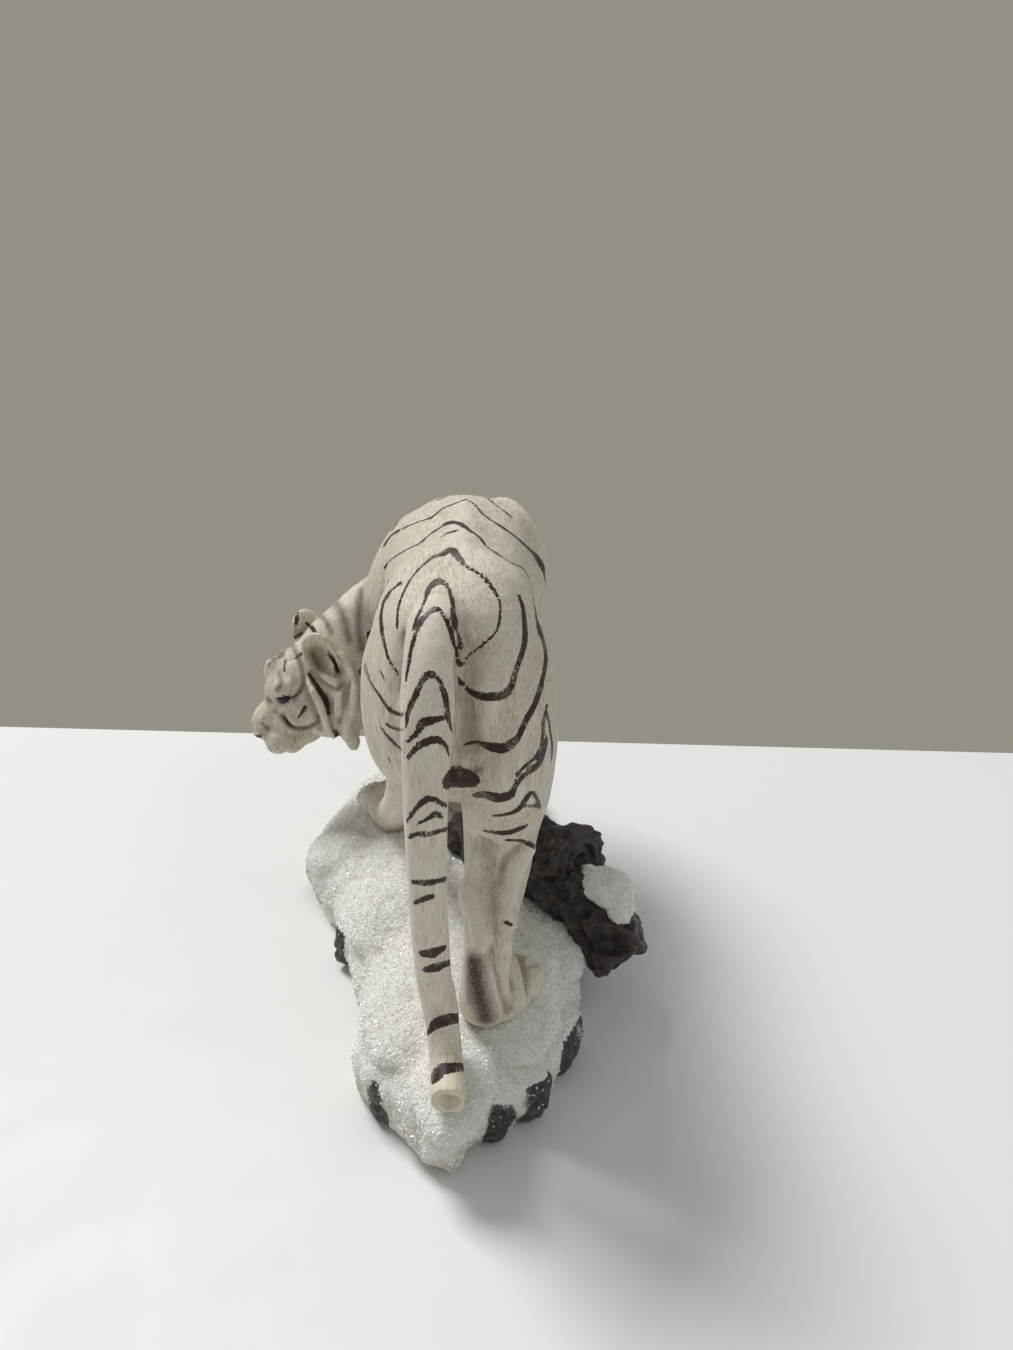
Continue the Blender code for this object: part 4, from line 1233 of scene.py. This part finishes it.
drawing = bmesh.new()
add_rock(drawing)
add_snow(drawing)
for placing in plate_matrices():
    bmesh.ops.create_uvsphere(drawing, u_segments=32, v_segments=20, radius=1.0, matrix=placing)
ground = Surface(fused(drawing, GROUND_GRAIN, 14))
inside = []
for placing in plate_matrices():
    back = np.array(placing.inverted())
    local = ground.points @ back[:3, :3].T + back[:3, 3]
    inside.append(np.linalg.norm(local, axis=1))
patches = ground.noise_field(9.0, 2.0)
sideways = np.clip(0.75 - ground.normals[:, 2], 0, 1)
low_side = np.clip((14.0 - ground.points[:, 2]) / 5.0, 0, 1) * sideways
right_side = np.clip((ground.points[:, 0] + 4.0) / 12.0, 0, 1)
right_side *= np.clip((ground.points[:, 1] + 40.0) / 20.0, 0, 1)
stone = np.clip((1.17 + 0.12 * patches - np.min(inside, axis=0)) * 5.0, 0, 1)
stone *= ground.normals[:, 2] < 0.58
stone = np.maximum(stone, np.clip((low_side * 3.0 + patches * 1.4 - 0.35) * right_side, 0, 1))
# Darker towards the bottom of the rim's sideways faces, broken by noise.
darker_low = np.clip((17.0 - ground.points[:, 2]) / 9.0, 0, 1)
darker_low *= np.clip(0.55 + 1.1 * ground.noise_field(8.0, 21.0), 0, 1)
darker_low *= np.clip((0.9 - ground.normals[:, 2]) * 2.0, 0, 1)
snow_lumps = (1.6 * ground.noise_field(11.0) + 0.50 * ground.noise_field(3.6, 4.0)
              + 0.28 * ground.noise_field(1.4, 7.0))
ridges = 1 - 2 * np.abs(ground.noise_field(5.0, 11.0, (1, 1, 0.6)))
stone_lumps = 1.6 * ground.noise_field(11.0) + 1.0 * ridges + 0.5 * ground.noise_field(1.9, 13.0) - 0.9
off_floor = np.clip(ground.points[:, 2] / 3.0, 0, 1)
ground.points += ground.normals * ((snow_lumps * (1 - stone) + stone_lumps * stone) * off_floor)[:, None]
ground.points[:, 2] = np.maximum(ground.points[:, 2], 0.0)
ground.settle()
ground.store("stone", stone)
ground.store("darker_low", darker_low)
ground.store("crease", np.clip(ground.hollows(6) / 0.6, -1, 1))
print("ground:", len(ground.points), "points")

# %% [markdown]
# ## The log
#
# A short trunk lies under the belly with its sawn end towards the viewer's right, and a
# thinner branch runs forward from it, hollow at its rotten end, with a cap of snow. The bark
# is nearly black, torn into ridges along the wood.

# %% Places of the log
def log_places():
    """Hidden foot of the trunk, its sawn end, the fork and the end of the branch."""
    foot = Vector((*spot(0.58, 0.03, 0.0)[:2], SNOW_TOP + TRUNK_WIDTH * 0.04))
    sawn_end = Vector((*TRUNK_END, SNOW_TOP + TRUNK_WIDTH * 0.62))
    fork = foot.lerp(sawn_end, 0.62)
    branch_end = Vector((*BRANCH_END, SNOW_TOP - BRANCH_WIDTH * 0.30))
    return foot, sawn_end, fork, branch_end


def add_log(bm):
    foot, sawn_end, fork, branch_end = log_places()
    trunk = TRUNK_WIDTH / 2
    branch = BRANCH_WIDTH / 2
    rows = []
    for share, wide in ((0.0, 0.66), (0.25, 0.82), (0.5, 0.90), (0.75, 0.98), (0.95, 1.0), (1.0, 0.88)):
        rows.append((*foot.lerp(sawn_end, share), trunk * wide, trunk * wide))
    add_limb(bm, rows, side=(1, 1, 0))
    middle = fork.lerp(branch_end, 0.55) + Vector((4.0, -3.0, 3.0))
    rows = [
        (*fork, branch * 1.10, branch * 1.10), (*middle, branch * 1.06, branch * 1.06),
        (*branch_end.lerp(middle, 0.35), branch * 1.05, branch * 1.02),
        (*branch_end, branch * 0.92, branch * 0.90),
    ]
    add_limb(bm, rows, side=(1, 1, 0))
    add_ball(bm, middle + Vector((1.0, 7.0, 7.0)), (3.6, 3.6, 4.6))
    return middle


# %% Fuse and tear the bark
drawing = bmesh.new()
branch_middle = add_log(drawing)
bark = Surface(fused(drawing, 0.6, 5))
foot, sawn_end, fork, branch_end = log_places()
trunk_way = np.array((sawn_end - foot).normalized())
torn = (1 - 2 * np.abs(bark.noise_field(7.0, 1.0, (1.6, 0.8, 1.0)))) * 1.6
torn += bark.noise_field(2.8, 6.0) * 1.1
torn += bark.noise_field(8.0) * 2.6 - 0.9

from_saw = bark.points - np.array(sawn_end)
ahead_of_saw = from_saw @ trunk_way
saw_radius = np.linalg.norm(from_saw - ahead_of_saw[:, None] * trunk_way, axis=1)
on_saw = (bark.normals @ trunk_way > 0.55) & (ahead_of_saw > -4.0) & (saw_radius < TRUNK_WIDTH * 0.45)
saw_radius = saw_radius + 0.9 * bark.noise_field(5.0, 17.0)
rings = np.where(on_saw, 0.45 * np.cos(saw_radius * 1.5) - 2.6 * np.clip(1 - saw_radius / 5.0, 0, 1), 0.0)
lift = np.where(on_saw, 0.40 * torn + rings, torn)
bark.points += bark.normals * lift[:, None]
bark.settle()

hollow_way = np.array((branch_end - fork).normalized())
from_end = bark.points - np.array(branch_end)
ahead_of_end = from_end @ hollow_way
end_radius = np.linalg.norm(from_end - ahead_of_end[:, None] * hollow_way, axis=1)
HOLLOW_RIM = BRANCH_WIDTH * 0.31
sunk = np.clip(1.15 - end_radius / HOLLOW_RIM, 0, 1) ** 0.6
in_end = (bark.normals @ hollow_way > 0.2) & (ahead_of_end > -3.0)
bark.points -= hollow_way * (np.where(in_end, sunk, 0.0) * 7.0)[:, None]
bark.settle()
bark.store("sawn", on_saw.astype(float))
bark.store("rotten", np.where(in_end, np.clip(sunk * 2, 0, 1), 0.0))
bark.store("crease", np.clip(bark.hollows(5) / 0.5, -1, 1))
print("log:", len(bark.points), "points")

# %% Snow cap on the branch
drawing = bmesh.new()
cap_middle = branch_middle + Vector((3.4, -0.5, BRANCH_WIDTH * 0.43))
add_ball(drawing, cap_middle, (8.2, 9.8, 5.2), Matrix.Rotation(math.radians(34), 4, "Z"))
add_ball(drawing, cap_middle + Vector((3.8, -6.0, -3.0)), (4.8, 6.2, 4.2))
add_ball(drawing, cap_middle + Vector((-5.2, 4.8, 0.2)), (4.8, 4.6, 3.6))
cap = Surface(fused(drawing, 0.6, 4))
cap.points += cap.normals * (1.1 * cap.noise_field(4.5) + 0.35 * cap.noise_field(1.4, 7.0))[:, None]
cap.settle()
cap.store("stone", np.zeros(len(cap.points)))
cap.store("darker_low", np.zeros(len(cap.points)))
cap.store("crease", np.clip(cap.hollows(4) / 0.6, -1, 1))
print("snow cap:", len(cap.points), "points")

# %% [markdown]
# ## Grit on the snow
#
# The snow is sprinkled with coarse clear grit that sparkles. Each grain is a small four
# sided crystal of its own. They are strewn over the snow's faces at random from a fixed
# seed, more where the snow faces up.

# %% Strew grains
GRAIN_SIZE = 0.52


def strewn(form, weights, count, seed):
    """One mesh of small crystals, strewn over a surface where the weights are high."""
    rng = np.random.default_rng(seed)
    form.mesh.calc_loop_triangles()
    corners = np.empty(len(form.mesh.loop_triangles) * 3, dtype=np.int64)
    form.mesh.loop_triangles.foreach_get("vertices", corners)
    corners = corners.reshape(-1, 3)
    a, b, c = (form.points[corners[:, k]] for k in range(3))
    areas = np.linalg.norm(np.cross(b - a, c - a), axis=1) * weights[corners].mean(axis=1)
    chosen = rng.choice(len(corners), size=count, p=areas / areas.sum())
    u, v = rng.random(count), rng.random(count)
    flip = u + v > 1
    u[flip], v[flip] = 1 - u[flip], 1 - v[flip]
    spots = a[chosen] + (b - a)[chosen] * u[:, None] + (c - a)[chosen] * v[:, None]
    crystal = np.array([(1, 1, 1), (-1, -1, 1), (-1, 1, -1), (1, -1, -1)], dtype=float) / math.sqrt(3)
    sides = np.array([(0, 2, 1), (0, 1, 3), (0, 3, 2), (1, 2, 3)])
    spin = np.linalg.qr(rng.normal(size=(count, 3, 3)))[0]
    spin *= np.sign(np.linalg.det(spin))[:, None, None]
    sizes = GRAIN_SIZE * rng.uniform(0.5, 1.2, size=(count, 1, 3))
    points = (crystal[None] * sizes) @ spin + spots[:, None]
    faces = sides[None] + 4 * np.arange(count)[:, None, None]
    mesh = bpy.data.meshes.new("grains")
    mesh.from_pydata(points.reshape(-1, 3).tolist(), [], faces.reshape(-1, 3).tolist())
    return mesh


bare = np.clip(1 - stone * 1.6, 0.04, 1)
snowy = bare * np.clip(ground.normals[:, 2] + 0.45, 0, 1) * (ground.points[:, 2] > 5.0)
ground_grains = strewn(ground, snowy, 46000, 5)
cap_grains = strewn(cap, np.clip(cap.normals[:, 2] + 0.2, 0, 1), 2600, 6)
print("grains:", len(ground_grains.vertices) // 4 + len(cap_grains.vertices) // 4)


# %% [markdown]
# ## Building materials from nodes
#
# A small helper adds a node, sets its plain values and links its inputs, so that a
# material reads as a list of what it is made of. Effects that several finishes share are
# node groups with named inputs: fine grain, and painted shade in the creases with a painted highlight on
# the ridges.

# %% Node helpers
def add(tree, kind, links=None, **settings):
    """A node with its settings, and its inputs set to values or linked to sockets."""
    made = tree.nodes.new(kind)
    for key, value in settings.items():
        setattr(made, key, value)
    for key, value in (links or {}).items():
        if isinstance(value, bpy.types.NodeSocket):
            tree.links.new(value, made.inputs[key])
        else:
            made.inputs[key].default_value = value
    return made


def math_node(tree, operation, a, b=0.0, clamp=False):
    return add(tree, "ShaderNodeMath", {0: a, 1: b}, operation=operation, use_clamp=clamp).outputs[0]


def blend_colours(tree, share, first, second):
    made = add(tree, "ShaderNodeMix", {0: share, 6: first, 7: second}, data_type="RGBA")
    return made.outputs[2]


def ramp(tree, value, low, high, start=0.0, end=1.0):
    """Value taken from between low and high to between start and end, and no further."""
    return add(tree, "ShaderNodeMapRange", {0: value, 1: low, 2: high, 3: start, 4: end}).outputs[0]


def attribute(tree, name, output="Fac"):
    return add(tree, "ShaderNodeAttribute", attribute_name=name).outputs[output]


def new_material(name):
    material = bpy.data.materials.new(name)
    material.use_nodes = True
    material.node_tree.nodes.clear()
    return material, material.node_tree


def coat(tree, colour, roughness, height=None, strength=1.0, distance=0.0):
    """Ends a material: its colour and roughness, and its fine relief when it has one."""
    links = {"Base Color": colour, "Roughness": roughness}
    if height is not None:
        relief = {"Height": height, "Strength": strength, "Distance": distance}
        links["Normal"] = add(tree, "ShaderNodeBump", relief).outputs[0]
    shader = add(tree, "ShaderNodeBsdfPrincipled", links)
    add(tree, "ShaderNodeOutputMaterial", {"Surface": shader.outputs[0]})
    return shader


def new_group(name, inputs, outputs):
    group = bpy.data.node_groups.new(name, "ShaderNodeTree")
    for title, value in inputs:
        socket = group.interface.new_socket(title, in_out="INPUT", socket_type="NodeSocketFloat")
        socket.default_value = value
    for title in outputs:
        group.interface.new_socket(title, in_out="OUTPUT", socket_type="NodeSocketFloat")
    return group, group.nodes.new("NodeGroupInput").outputs, group.nodes.new("NodeGroupOutput").inputs


def use_group(tree, group, **values):
    made = add(tree, "ShaderNodeGroup", node_tree=group)
    for key, value in values.items():
        socket = made.inputs[key.replace("_", " ")]
        if isinstance(value, bpy.types.NodeSocket):
            tree.links.new(value, socket)
        else:
            socket.default_value = value
    return made.outputs


# %% Fine grain group
grain_group, given, result = new_group("fine grain", (("Spacing", 0.6), ("Roughness", 0.6), ("Seed", 0.0)),
                                       ("Height", "Mottling"))
place = add(grain_group, "ShaderNodeTexCoord").outputs["Object"]
per_metre = math_node(grain_group, "DIVIDE", 1.0 / MM, given["Spacing"])
seeded = add(grain_group, "ShaderNodeVectorMath", {0: place, 1: given["Seed"]}, operation="ADD").outputs[0]
close = add(grain_group, "ShaderNodeTexNoise",
            {"Vector": seeded, "Scale": per_metre, "Detail": 4.0, "Roughness": given["Roughness"]})
wide_scale = math_node(grain_group, "MULTIPLY", per_metre, 0.12)
wide_noise = add(grain_group, "ShaderNodeTexNoise", {"Vector": seeded, "Scale": wide_scale, "Detail": 5.0})
grain_group.links.new(close.outputs["Fac"], result["Height"])
grain_group.links.new(wide_noise.outputs["Fac"], result["Mottling"])

# %% Crease shade and ridge highlight group
crease_shade_group, given, result = new_group(
    "crease shade and ridge highlight", (("Crease", 0.0), ("Amount", 1.0), ("Breakup", 0.5)), ("Dark", "Light"))
# Painted shade: the Dark share grows in the creases. Painted highlight: the Light share grows on the
# ridges.
low = ramp(crease_shade_group, given["Crease"], 0.02, 0.5)
high = ramp(crease_shade_group, given["Crease"], -0.05, -0.5)
broken = ramp(crease_shade_group, given["Breakup"], 0.3, 0.7, 0.35, 1.0)
dark_share = math_node(crease_shade_group, "MULTIPLY", math_node(crease_shade_group, "MULTIPLY", low, broken),
                       given["Amount"], clamp=True)
light_share = math_node(crease_shade_group, "MULTIPLY", math_node(crease_shade_group, "MULTIPLY", high, broken),
                        given["Amount"], clamp=True)
crease_shade_group.links.new(dark_share, result["Dark"])
crease_shade_group.links.new(light_share, result["Light"])
print("shared effects:", grain_group.name, "and", crease_shade_group.name)

# %% [markdown]
# ## Painted fur
#
# An ivory base coat, painted shade between the combed hairs and in the creases, a painted
# highlight on the hairs and on the ridges, and over it the dark purple-brown stripes. Where the brush ran
# dry the stripe breaks into specks. The snapped tip shows the bare, waxy resin.

# %% Colours of the fur
IVORY = (0.590, 0.545, 0.445, 1)
IVORY_WARM = (0.505, 0.455, 0.345, 1)
IVORY_SHADE = (0.235, 0.205, 0.148, 1)
IVORY_LIGHT = (0.770, 0.735, 0.640, 1)
STRIPE_BROWN = (0.022, 0.010, 0.007, 1)
STRIPE_RUBBED = (0.075, 0.037, 0.029, 1)
OLIVE_WASH = (0.235, 0.190, 0.100, 1)
GREY_WASH = (0.330, 0.270, 0.262, 1)
SMOKE_WASH = (0.110, 0.078, 0.080, 1)
PINK_WASH = (0.480, 0.350, 0.300, 1)
HEEL_BROWN = (0.088, 0.055, 0.052, 1)
BARE_RESIN = (0.660, 0.615, 0.490, 1)


# %% Hair lines
def hair_lines(tree):
    """Height of fine combed hairs: along the back on top, and downwards on the sides."""
    place = add(tree, "ShaderNodeTexCoord").outputs["Object"]
    heights = []
    for stretch in ((1900, 210, 1900), (1900, 1900, 210)):
        mapped = add(tree, "ShaderNodeMapping", {"Vector": place, "Scale": stretch}).outputs[0]
        hairs = add(tree, "ShaderNodeTexNoise", {"Vector": mapped, "Scale": 1.0, "Detail": 2.0})
        heights.append(hairs.outputs["Fac"])
    made = add(tree, "ShaderNodeMix", {0: attribute(tree, "along_back"), 2: heights[1], 3: heights[0]})
    return made.outputs[0]


# %% Stripe mask
def stripe_masks(tree, grain):
    """How far inside a stroke a spot is, as a crisp mask, and where the brush ran dry."""
    way = attribute(tree, "stroke_way", "Vector")
    length = add(tree, "ShaderNodeVectorMath", {0: way}, operation="LENGTH").outputs["Value"]
    gap = attribute(tree, "stroke_gap")
    far = ramp(tree, gap, 0.45, 0.75)
    distance = add(tree, "ShaderNodeMix", {0: far, 2: length, 3: gap}).outputs[0]
    edge = math_node(tree, "SUBTRACT", distance, attribute(tree, "stroke_half"))
    ragged = ramp(tree, grain["Height"], 0.25, 0.75, -0.28, 0.28)
    wandering = ramp(tree, grain["Mottling"], 0.3, 0.7, -0.12, 0.12)
    edge = math_node(tree, "ADD", math_node(tree, "ADD", edge, ragged), wandering)
    inside_stroke = ramp(tree, edge, 0.07, -0.07)
    dryness = use_group(tree, grain_group, Spacing=0.45, Roughness=0.7, Seed=4.0)
    patch = ramp(tree, dryness["Mottling"], 0.52, 0.64)
    specks = ramp(tree, dryness["Height"], 0.50, 0.56)
    near_edge = ramp(tree, edge, -1.0, -0.1)
    dry = math_node(tree, "MULTIPLY", math_node(tree, "MULTIPLY", patch, specks),
                    ramp(tree, near_edge, 0.0, 1.0, 0.55, 1.0), clamp=True)
    return inside_stroke, dry


# %% Painted fur material
fur_paint, tree = new_material("painted_fur")
grain = use_group(tree, grain_group, Spacing=0.55, Roughness=0.6, Seed=0.0)
hairs = hair_lines(tree)
shade_and_highlight = use_group(tree, crease_shade_group, Crease=attribute(tree, "crease"), Amount=0.65,
                    Breakup=grain["Mottling"])
colour = blend_colours(tree, ramp(tree, grain["Mottling"], 0.35, 0.65, 0.0, 0.6), IVORY, IVORY_WARM)
# Painted shade between the combed hairs, where their bump is low, and a painted highlight on them, where it
# is high.
colour = blend_colours(tree, ramp(tree, hairs, 0.47, 0.32, 0.0, 0.50), colour, IVORY_SHADE)
colour = blend_colours(tree, ramp(tree, hairs, 0.54, 0.70, 0.0, 0.65), colour, IVORY_LIGHT)
# Painted shade in the creases and a painted highlight on the ridges.
colour = blend_colours(tree, shade_and_highlight["Dark"], colour, IVORY_SHADE)
colour = blend_colours(tree, shade_and_highlight["Light"], colour, IVORY_LIGHT)
for name, paint, most in (("grey_wash", GREY_WASH, 0.8), ("olive_wash", OLIVE_WASH, 0.9),
                          ("pink_wash", PINK_WASH, 0.8), ("smoke_wash", SMOKE_WASH, 0.95),
                          ("heel_wash", HEEL_BROWN, 1.3)):
    patchy = ramp(tree, grain["Height"], 0.36, 0.64, 0.65, 1.15)
    share = math_node(tree, "MULTIPLY", attribute(tree, name), patchy)
    share = math_node(tree, "MULTIPLY", share, most, clamp=True)
    colour = blend_colours(tree, share, colour, paint)
colour = blend_colours(tree, attribute(tree, "bare_resin"), colour, BARE_RESIN)
stroke, dry = stripe_masks(tree, grain)
stripe = blend_colours(tree, ramp(tree, grain["Height"], 0.45, 0.70, 0.0, 0.7), STRIPE_BROWN, STRIPE_RUBBED)
kept = math_node(tree, "SUBTRACT", 1.0, math_node(tree, "MULTIPLY", dry, 0.85))
covering = math_node(tree, "MULTIPLY", stroke, kept)
colour = blend_colours(tree, covering, colour, stripe)
height = math_node(tree, "ADD", math_node(tree, "MULTIPLY", hairs, 0.8),
                   math_node(tree, "MULTIPLY", grain["Height"], 0.5))
shader = coat(tree, colour, ramp(tree, covering, 0.0, 1.0, 0.60, 0.50), height, 0.55, 0.22 * MM)
shader.inputs["Specular IOR Level"].default_value = 0.35
shader.inputs["Subsurface Weight"].default_value = 0.05
shader.inputs["Subsurface Radius"].default_value = (1.0, 0.8, 0.5)
shader.inputs["Subsurface Scale"].default_value = 1.0 * MM
print(fur_paint.name, len(tree.nodes), "nodes")

# %% [markdown]
# ## Gritty snow over bare stone
#
# The snow is white paint over coarse grit, with a pinkish tan in broad patches. Its colour
# is darker in the low spots of its grain and tan in its hollows, both painted shade. The bare
# plates are a dark grey brown with a damp shine. One material holds both, and the stone
# mask that was stored on the mesh tells them apart, with a ragged border.

# %% Snow and stone material
SNOW_SHADE = (0.760, 0.725, 0.670, 1)
SNOW_TAN_AND_SHADE = (0.480, 0.395, 0.330, 1)
SNOW_BRIGHT = (0.930, 0.915, 0.880, 1)
SNOW_DARKER_LOW = (0.470, 0.410, 0.315, 1)
STONE_DARK = (0.024, 0.020, 0.018, 1)
STONE_PALE = (0.110, 0.092, 0.080, 1)

snow_paint, tree = new_material("gritty_snow")
grain = use_group(tree, grain_group, Spacing=0.42, Roughness=0.65, Seed=2.0)
broad = use_group(tree, grain_group, Spacing=1.6, Roughness=0.6, Seed=7.0)
shade_and_highlight = use_group(tree, crease_shade_group, Crease=attribute(tree, "crease"), Amount=0.55,
                    Breakup=broad["Mottling"])
# Painted shade and highlight: darker in the low spots of the grain's bump, lighter on its high spots.
snow = blend_colours(tree, ramp(tree, grain["Height"], 0.38, 0.52), SNOW_SHADE, SNOW_BRIGHT)
# Painted shade: tan in the hollows.
snow = blend_colours(tree, shade_and_highlight["Dark"], snow, SNOW_TAN_AND_SHADE)
# Tan in broad patches, the paint's own tone.
snow = blend_colours(tree, ramp(tree, broad["Mottling"], 0.54, 0.72, 0.0, 0.25), snow, SNOW_TAN_AND_SHADE)
# Darker towards the bottom of the rim.
darker_low_breaks = ramp(tree, broad["Height"], 0.3, 0.6, 0.4, 1.1)
darker_low_share = math_node(tree, "MULTIPLY", attribute(tree, "darker_low"), darker_low_breaks, clamp=True)
snow = blend_colours(tree, darker_low_share, snow, SNOW_DARKER_LOW)
rock = blend_colours(tree, ramp(tree, broad["Height"], 0.40, 0.66), STONE_DARK, STONE_PALE)
ragged = ramp(tree, grain["Height"], 0.3, 0.7, -0.25, 0.25)
stone_share = ramp(tree, math_node(tree, "ADD", attribute(tree, "stone"), ragged), 0.42, 0.55)
colour = blend_colours(tree, stone_share, snow, rock)
coat(tree, colour, ramp(tree, stone_share, 0.0, 1.0, 0.66, 0.36), grain["Height"], 1.0, 0.5 * MM)
print(snow_paint.name, len(tree.nodes), "nodes")

# %% Clear grit material
GRIT_SHADE = (0.820, 0.800, 0.760, 1)
GRIT_BRIGHT = (0.960, 0.955, 0.940, 1)

grit_paint, tree = new_material("clear_grit")
grain = use_group(tree, grain_group, Spacing=1.2, Roughness=0.6, Seed=5.0)
colour = blend_colours(tree, ramp(tree, grain["Height"], 0.35, 0.65), GRIT_SHADE, GRIT_BRIGHT)
coat(tree, colour, ramp(tree, grain["Mottling"], 0.3, 0.7, 0.12, 0.35))
print(grit_paint.name, len(tree.nodes), "nodes")

# %% [markdown]
# ## Bark
#
# Nearly black paint, glossy in places, with reddish brown on the torn ridges and a few tan
# specks on their high spots, both painted highlight, and painted shade in the cracks. The
# sawn end shows rings in brown, and the rotten hollow is black.

# %% Bark material
BARK_BLACK = (0.009, 0.007, 0.006, 1)
BARK_BROWN = (0.040, 0.023, 0.017, 1)
BARK_TAN_GLINT = (0.230, 0.150, 0.100, 1)
SAWN_BROWN = (0.034, 0.023, 0.019, 1)
ROTTEN_BLACK = (0.004, 0.003, 0.003, 1)

bark_paint, tree = new_material("dead_bark")
grain = use_group(tree, grain_group, Spacing=0.8, Roughness=0.7, Seed=3.0)
broad = use_group(tree, grain_group, Spacing=0.35, Roughness=0.6, Seed=8.0)
shade_and_highlight = use_group(tree, crease_shade_group, Crease=attribute(tree, "crease"), Amount=1.0,
                    Breakup=grain["Height"])
colour = blend_colours(tree, ramp(tree, grain["Mottling"], 0.47, 0.60, 0.0, 0.9), BARK_BLACK, BARK_BROWN)
# Painted highlight: reddish brown on the ridges.
colour = blend_colours(tree, shade_and_highlight["Light"], colour, BARK_BROWN)
# Painted highlight: tan specks on the ridges' high spots, standing in for glints.
tan_glint_specks = ramp(tree, grain["Height"], 0.55, 0.63)
tan_glint_share = math_node(tree, "MULTIPLY", shade_and_highlight["Light"], tan_glint_specks, clamp=True)
colour = blend_colours(tree, tan_glint_share, colour, BARK_TAN_GLINT)
colour = blend_colours(tree, math_node(tree, "MULTIPLY", attribute(tree, "sawn"), 0.6), colour, SAWN_BROWN)
# Painted shade: black in the cracks.
colour = blend_colours(tree, shade_and_highlight["Dark"], colour, BARK_BLACK)
colour = blend_colours(tree, attribute(tree, "rotten"), colour, ROTTEN_BLACK)
coat(tree, colour, ramp(tree, broad["Height"], 0.42, 0.66, 0.22, 0.55), grain["Height"], 0.9, 0.5 * MM)
print(bark_paint.name, len(tree.nodes), "nodes")

# %% Eye material
EYE_BLACK = (0.006, 0.006, 0.007, 1)
EYE_GREY = (0.020, 0.019, 0.020, 1)

eye_paint, tree = new_material("black_eye")
grain = use_group(tree, grain_group, Spacing=0.9, Roughness=0.5, Seed=6.0)
colour = blend_colours(tree, grain["Mottling"], EYE_BLACK, EYE_GREY)
coat(tree, colour, ramp(tree, grain["Height"], 0.3, 0.7, 0.15, 0.3))

# %% [markdown]
# ## The pieces
#
# Everything rides on the one body, and all of it together stands for the plain casting.

# %% Make the pieces
tiger_piece = finished("tiger", tiger_mesh, fur_paint)
finished("snowy_rock", ground.mesh, snow_paint)
finished("dead_log", bark.mesh, bark_paint)
finished("log_snow", cap.mesh, snow_paint)
finished("snow_grit", ground_grains, grit_paint)
finished("log_grit", cap_grains, grit_paint)
for crystals in (ground_grains, cap_grains):
    crystals.shade_flat()
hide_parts("tiger_figurine")

# %% Eyes
EYE_RADIUS = 2.3

for side, name in ((-1, "left_eye"), (1, "right_eye")):
    drawing = bmesh.new()
    middle = on_head(side * (EYE[0] - 1.1), EYE[1] - 0.9, EYE[2] - 0.2)
    add_ball(drawing, middle, (EYE_RADIUS, EYE_RADIUS * 1.1, EYE_RADIUS * 0.9), HEAD_TURNED)
    ball = bpy.data.meshes.new(name)
    drawing.to_mesh(ball)
    drawing.free()
    finished(name, ball, eye_paint)

# %% [markdown]
# ## Floor and light
#
# The figurine stands on a pale table top, and the table ends in a straight edge not far
# behind it, with plain grey beyond. A large soft lamp from the upper left and a weak one
# from the right light it at a plain level, and the world fills the rest.

# %% Floor
TABLE_EDGE_Y = 0.140
FLOOR_REACH = 4.0
TABLE_PALE = (0.780, 0.775, 0.755, 1)
TABLE_WORN = (0.740, 0.735, 0.720, 1)
BEYOND_GREY = (0.296, 0.279, 0.236, 1)

bpy.ops.mesh.primitive_plane_add(size=2 * FLOOR_REACH, location=(0, TABLE_EDGE_Y - FLOOR_REACH, -0.0002))
floor = bpy.context.object
floor.name = "table_top"
floor_paint, tree = new_material("pale_table")
place = add(tree, "ShaderNodeTexCoord").outputs["Object"]
table_noise = add(tree, "ShaderNodeTexNoise", {"Vector": place, "Scale": 40.0, "Detail": 3.0})
table_grain = table_noise.outputs["Fac"]
pale = blend_colours(tree, ramp(tree, table_grain, 0.3, 0.7, 0.0, 0.2), TABLE_PALE, TABLE_WORN)
coat(tree, pale, ramp(tree, table_grain, 0.3, 0.7, 0.5, 0.6))
floor.data.materials.append(floor_paint)
print("table edge at", TABLE_EDGE_Y, "m")


# %% Lamps and world
def add_lamp(name, place, aim, size, power):
    light = bpy.data.lights.new(name, "AREA")
    light.size = size
    light.energy = power
    lamp = bpy.data.objects.new(name, light)
    lamp.location = place
    lamp.rotation_euler = (Vector(aim) - Vector(place)).to_track_quat("-Z", "Y").to_euler()
    bpy.context.scene.collection.objects.link(lamp)


add_lamp("window_left", (-1.20, 0.85, 2.40), (0, 0, 0.05), 0.9, 60.0)
add_lamp("fill_right", (0.8, -0.4, 0.9), (0, 0, 0.08), 0.7, 1.1)
world = bpy.data.worlds.new("studio")
bpy.context.scene.world = world
world.use_nodes = True
world.node_tree.nodes.clear()
seen = add(world.node_tree, "ShaderNodeLightPath").outputs["Is Camera Ray"]
sky = add(world.node_tree, "ShaderNodeBackground", {"Color": (1.0, 1.0, 1.0, 1), "Strength": 0.36})
wall = add(world.node_tree, "ShaderNodeBackground", {"Color": BEYOND_GREY, "Strength": 1.0})
backdrop = add(world.node_tree, "ShaderNodeMixShader", {0: seen, 1: sky.outputs[0], 2: wall.outputs[0]})
add(world.node_tree, "ShaderNodeOutputWorld", {"Surface": backdrop.outputs[0]})
bpy.context.scene.view_settings.view_transform = "Standard"
